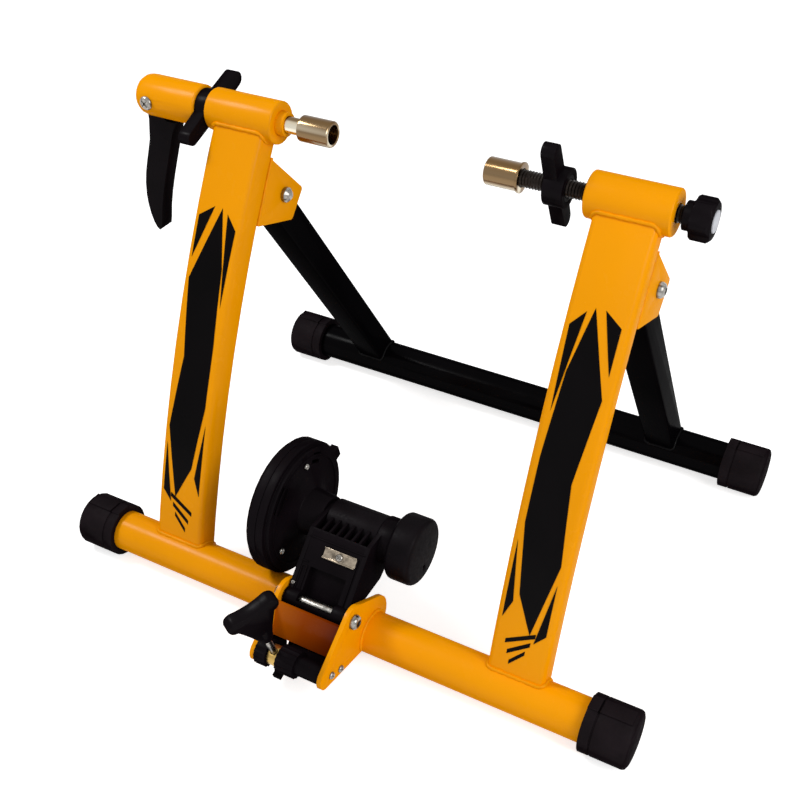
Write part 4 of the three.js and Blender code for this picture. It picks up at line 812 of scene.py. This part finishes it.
def slope_rail(shape, outline):
    """A rail of even height on the arm's sloping front."""
    face = shape.faces.new([shape.verts.new(on_slope(x, up, RAIL_LOW)) for x, up in outline])
    rise = on_slope(0, 0, RAIL_HIGH) - on_slope(0, 0, RAIL_LOW)
    for vert in extruded_verts(bmesh.ops.extrude_face_region(shape, geom=[face])):
        vert.co += rise


class TRAINER_OT_unit_details(Operator):
    """Add the moulded ridges of the magnet housing, and the rails and the rivet on the arm's front"""
    bl_idname = "trainer.unit_details"
    bl_label = "Add the roller unit's details"

    def execute(self, context):
        def ridges(shape):
            for ridge in HOUSING_RIDGES:
                housing_ridge(shape, *ridge)
        make_piece(ridges, "housing_ridges", "roller_arm", finish("plastic"))

        def rails(shape):
            for outline in RAIL_OUTLINES:
                slope_rail(shape, outline)
        make_piece(rails, "arm_front_rails", "roller_arm", finish("plastic"), (), RAIL_ROUND * MM)

        def rivet(shape):
            bolt_head(shape, on_slope(*RIVET_PLACE), SLOPE_OUT, *RIVET, "cross", RIVET_SIDES)
        make_piece(rivet, "arm_rivet", "roller_arm", finish("zinc"))
        return {"FINISHED"}


def seen_rays(tree):
    """One where a ray from the camera, a mirror-like surface or clear stuff meets the background."""
    rays = tree.nodes.new("ShaderNodeLightPath")
    total = None
    for name in ("Is Camera Ray", "Is Glossy Ray", "Is Transmission Ray"):
        if total is None:
            total = rays.outputs[name]
            continue
        either = tree.nodes.new("ShaderNodeMath")
        either.operation = "MAXIMUM"
        tree.links.new(total, either.inputs[0])
        tree.links.new(rays.outputs[name], either.inputs[1])
        total = either.outputs[0]
    return total


# Camera, fitted to the photo: its place, its angles, and the focal length and the optical middle in picture points
CAMERA_PLACE = (401.157, -762.28, 789.13)
CAMERA_YAW, CAMERA_PITCH, CAMERA_ROLL = -0.5238, -0.6703, -0.0219
PICTURE_SIZE, FOCAL_LENGTH, OPTICAL_X, OPTICAL_Y = 800, 1168.65, 398.94, 429.86
SENSOR_WIDTH = 36
CLIP_START = 0.01
# Lamps: place, aim, size and power
LAMPS = {
    "key_light": ((-1.1, -0.42, 1.65), (0, 0, 0.2), 0.45, 16),
    "front_light": ((0.5, -1.7, 1.4), (0, 0, 0.15), 1.2, 2.5),
    "fill_light": ((1.5, -0.45, 1.1), (0, 0, 0.15), 0.9, 15),
}
# Strength of the background as light and as it is seen, and the floor's half side, shade, roughness and glow
AMBIENT, BACKDROP = 0.33, 1.0
FLOOR_SIZE, FLOOR_SHADE, FLOOR_ROUGHNESS, FLOOR_GLOW = 6, 0.82, 0.9, 0.7


class TRAINER_OT_stage(Operator):
    """Set the camera, the soft studio light and the pale floor"""
    bl_idname = "trainer.stage"
    bl_label = "Set the stage"

    def execute(self, context):
        scene = context.scene
        self.set_camera(scene)
        self.set_lamps(scene)
        self.set_background(scene)
        if scene.trainer_sizes.show_floor:
            self.lay_floor(scene)
        scene.view_settings.view_transform = "Standard"
        return {"FINISHED"}

    def set_camera(self, scene):
        data = bpy.data.cameras.new("photo_view")
        camera = bpy.data.objects.new("photo_view", data)
        scene.collection.objects.link(camera)
        sin_yaw, cos_yaw = math.sin(CAMERA_YAW), math.cos(CAMERA_YAW)
        sin_roll, cos_roll = math.sin(CAMERA_ROLL), math.cos(CAMERA_ROLL)
        level = math.cos(CAMERA_PITCH)
        forward = Vector((sin_yaw * level, cos_yaw * level, math.sin(CAMERA_PITCH)))
        right = Vector((cos_yaw, -sin_yaw, 0))
        up = right.cross(forward)
        across = right * cos_roll + up * sin_roll
        upward = -right * sin_roll + up * cos_roll
        turn = Matrix((across, upward, -forward)).transposed()
        camera.matrix_world = Matrix.Translation(spot(*CAMERA_PLACE)) @ turn.to_4x4()
        data.lens = FOCAL_LENGTH * SENSOR_WIDTH / PICTURE_SIZE
        data.sensor_width = SENSOR_WIDTH
        data.shift_x = (PICTURE_SIZE / 2 - OPTICAL_X) / PICTURE_SIZE
        data.shift_y = (OPTICAL_Y - PICTURE_SIZE / 2) / PICTURE_SIZE
        data.clip_start = CLIP_START
        scene.camera = camera

    def set_lamps(self, scene):
        for name, (place, aim, size, power) in LAMPS.items():
            data = bpy.data.lights.new(name, "AREA")
            data.size = size
            data.energy = power
            lamp = bpy.data.objects.new(name, data)
            lamp.location = place
            lamp.rotation_euler = (Vector(aim) - Vector(place)).to_track_quat("-Z", "Y").to_euler()
            scene.collection.objects.link(lamp)

    def set_background(self, scene):
        """Light grey as light, white where it is seen."""
        world = bpy.data.worlds.new("studio")
        world.use_nodes = True
        tree = world.node_tree
        background = tree.nodes["Background"]
        background.inputs["Color"].default_value = (1, 1, 1, 1)
        strength = tree.nodes.new("ShaderNodeMapRange")
        strength.inputs["To Min"].default_value = AMBIENT
        strength.inputs["To Max"].default_value = BACKDROP
        tree.links.new(seen_rays(tree), strength.inputs["Value"])
        tree.links.new(strength.outputs["Result"], background.inputs["Strength"])
        scene.world = world

    def lay_floor(self, scene):
        data = bpy.data.meshes.new("floor")
        shape = bmesh.new()
        bmesh.ops.create_grid(shape, x_segments=1, y_segments=1, size=FLOOR_SIZE)
        shape.to_mesh(data)
        shape.free()
        floor = bpy.data.objects.new("floor", data)
        scene.collection.objects.link(floor)
        data.materials.append(self.floor_finish())

    def floor_finish(self):
        """A pale floor that glows a little where it is seen, so that it melts into the white background."""
        material, tree, shader = surface("pale_floor", (FLOOR_SHADE,) * 3, FLOOR_ROUGHNESS, specular=0.1)
        glow = tree.nodes.new("ShaderNodeEmission")
        glow.inputs["Color"].default_value = (1, 1, 1, 1)
        glow.inputs["Strength"].default_value = FLOOR_GLOW
        total = tree.nodes.new("ShaderNodeAddShader")
        pick = tree.nodes.new("ShaderNodeMixShader")
        out = tree.nodes["Material Output"]
        tree.links.new(shader.outputs[0], total.inputs[0])
        tree.links.new(glow.outputs[0], total.inputs[1])
        tree.links.new(seen_rays(tree), pick.inputs[0])
        tree.links.new(shader.outputs[0], pick.inputs[1])
        tree.links.new(total.outputs[0], pick.inputs[2])
        tree.links.new(pick.outputs[0], out.inputs["Surface"])
        return material


OPERATORS = (
    TRAINER_OT_dress_nodes,
    TRAINER_OT_welds,
    TRAINER_OT_panels,
    TRAINER_OT_fasteners,
    TRAINER_OT_spring_clip,
    TRAINER_OT_unit_details,
    TRAINER_OT_stage,
)


class TRAINER_PT_pieces(Panel):
    """Lists the trainer's pieces, sizes and colours"""
    bl_idname = "TRAINER_PT_pieces"
    bl_label = "Turbo trainer"
    bl_space_type = "VIEW_3D"
    bl_region_type = "UI"
    bl_category = "Trainer"

    def draw(self, context):
        layout = self.layout
        for group in (context.scene.trainer_colours, context.scene.trainer_sizes):
            for name in group.__annotations__:
                layout.prop(group, name)
        for operator in OPERATORS:
            layout.operator(operator.bl_idname)


CLASSES = (TrainerColours, TrainerSizes, *OPERATORS, TRAINER_PT_pieces)


def register():
    for cls in CLASSES:
        bpy.utils.register_class(cls)
    bpy.types.Scene.trainer_colours = PointerProperty(type=TrainerColours)
    bpy.types.Scene.trainer_sizes = PointerProperty(type=TrainerSizes)


def unregister():
    del bpy.types.Scene.trainer_sizes
    del bpy.types.Scene.trainer_colours
    for cls in reversed(CLASSES):
        bpy.utils.unregister_class(cls)


def main():
    register()
    for operator in OPERATORS:
        family, action = operator.bl_idname.split(".")
        getattr(getattr(bpy.ops, family), action)()


if __name__ == "__main__":
    main()
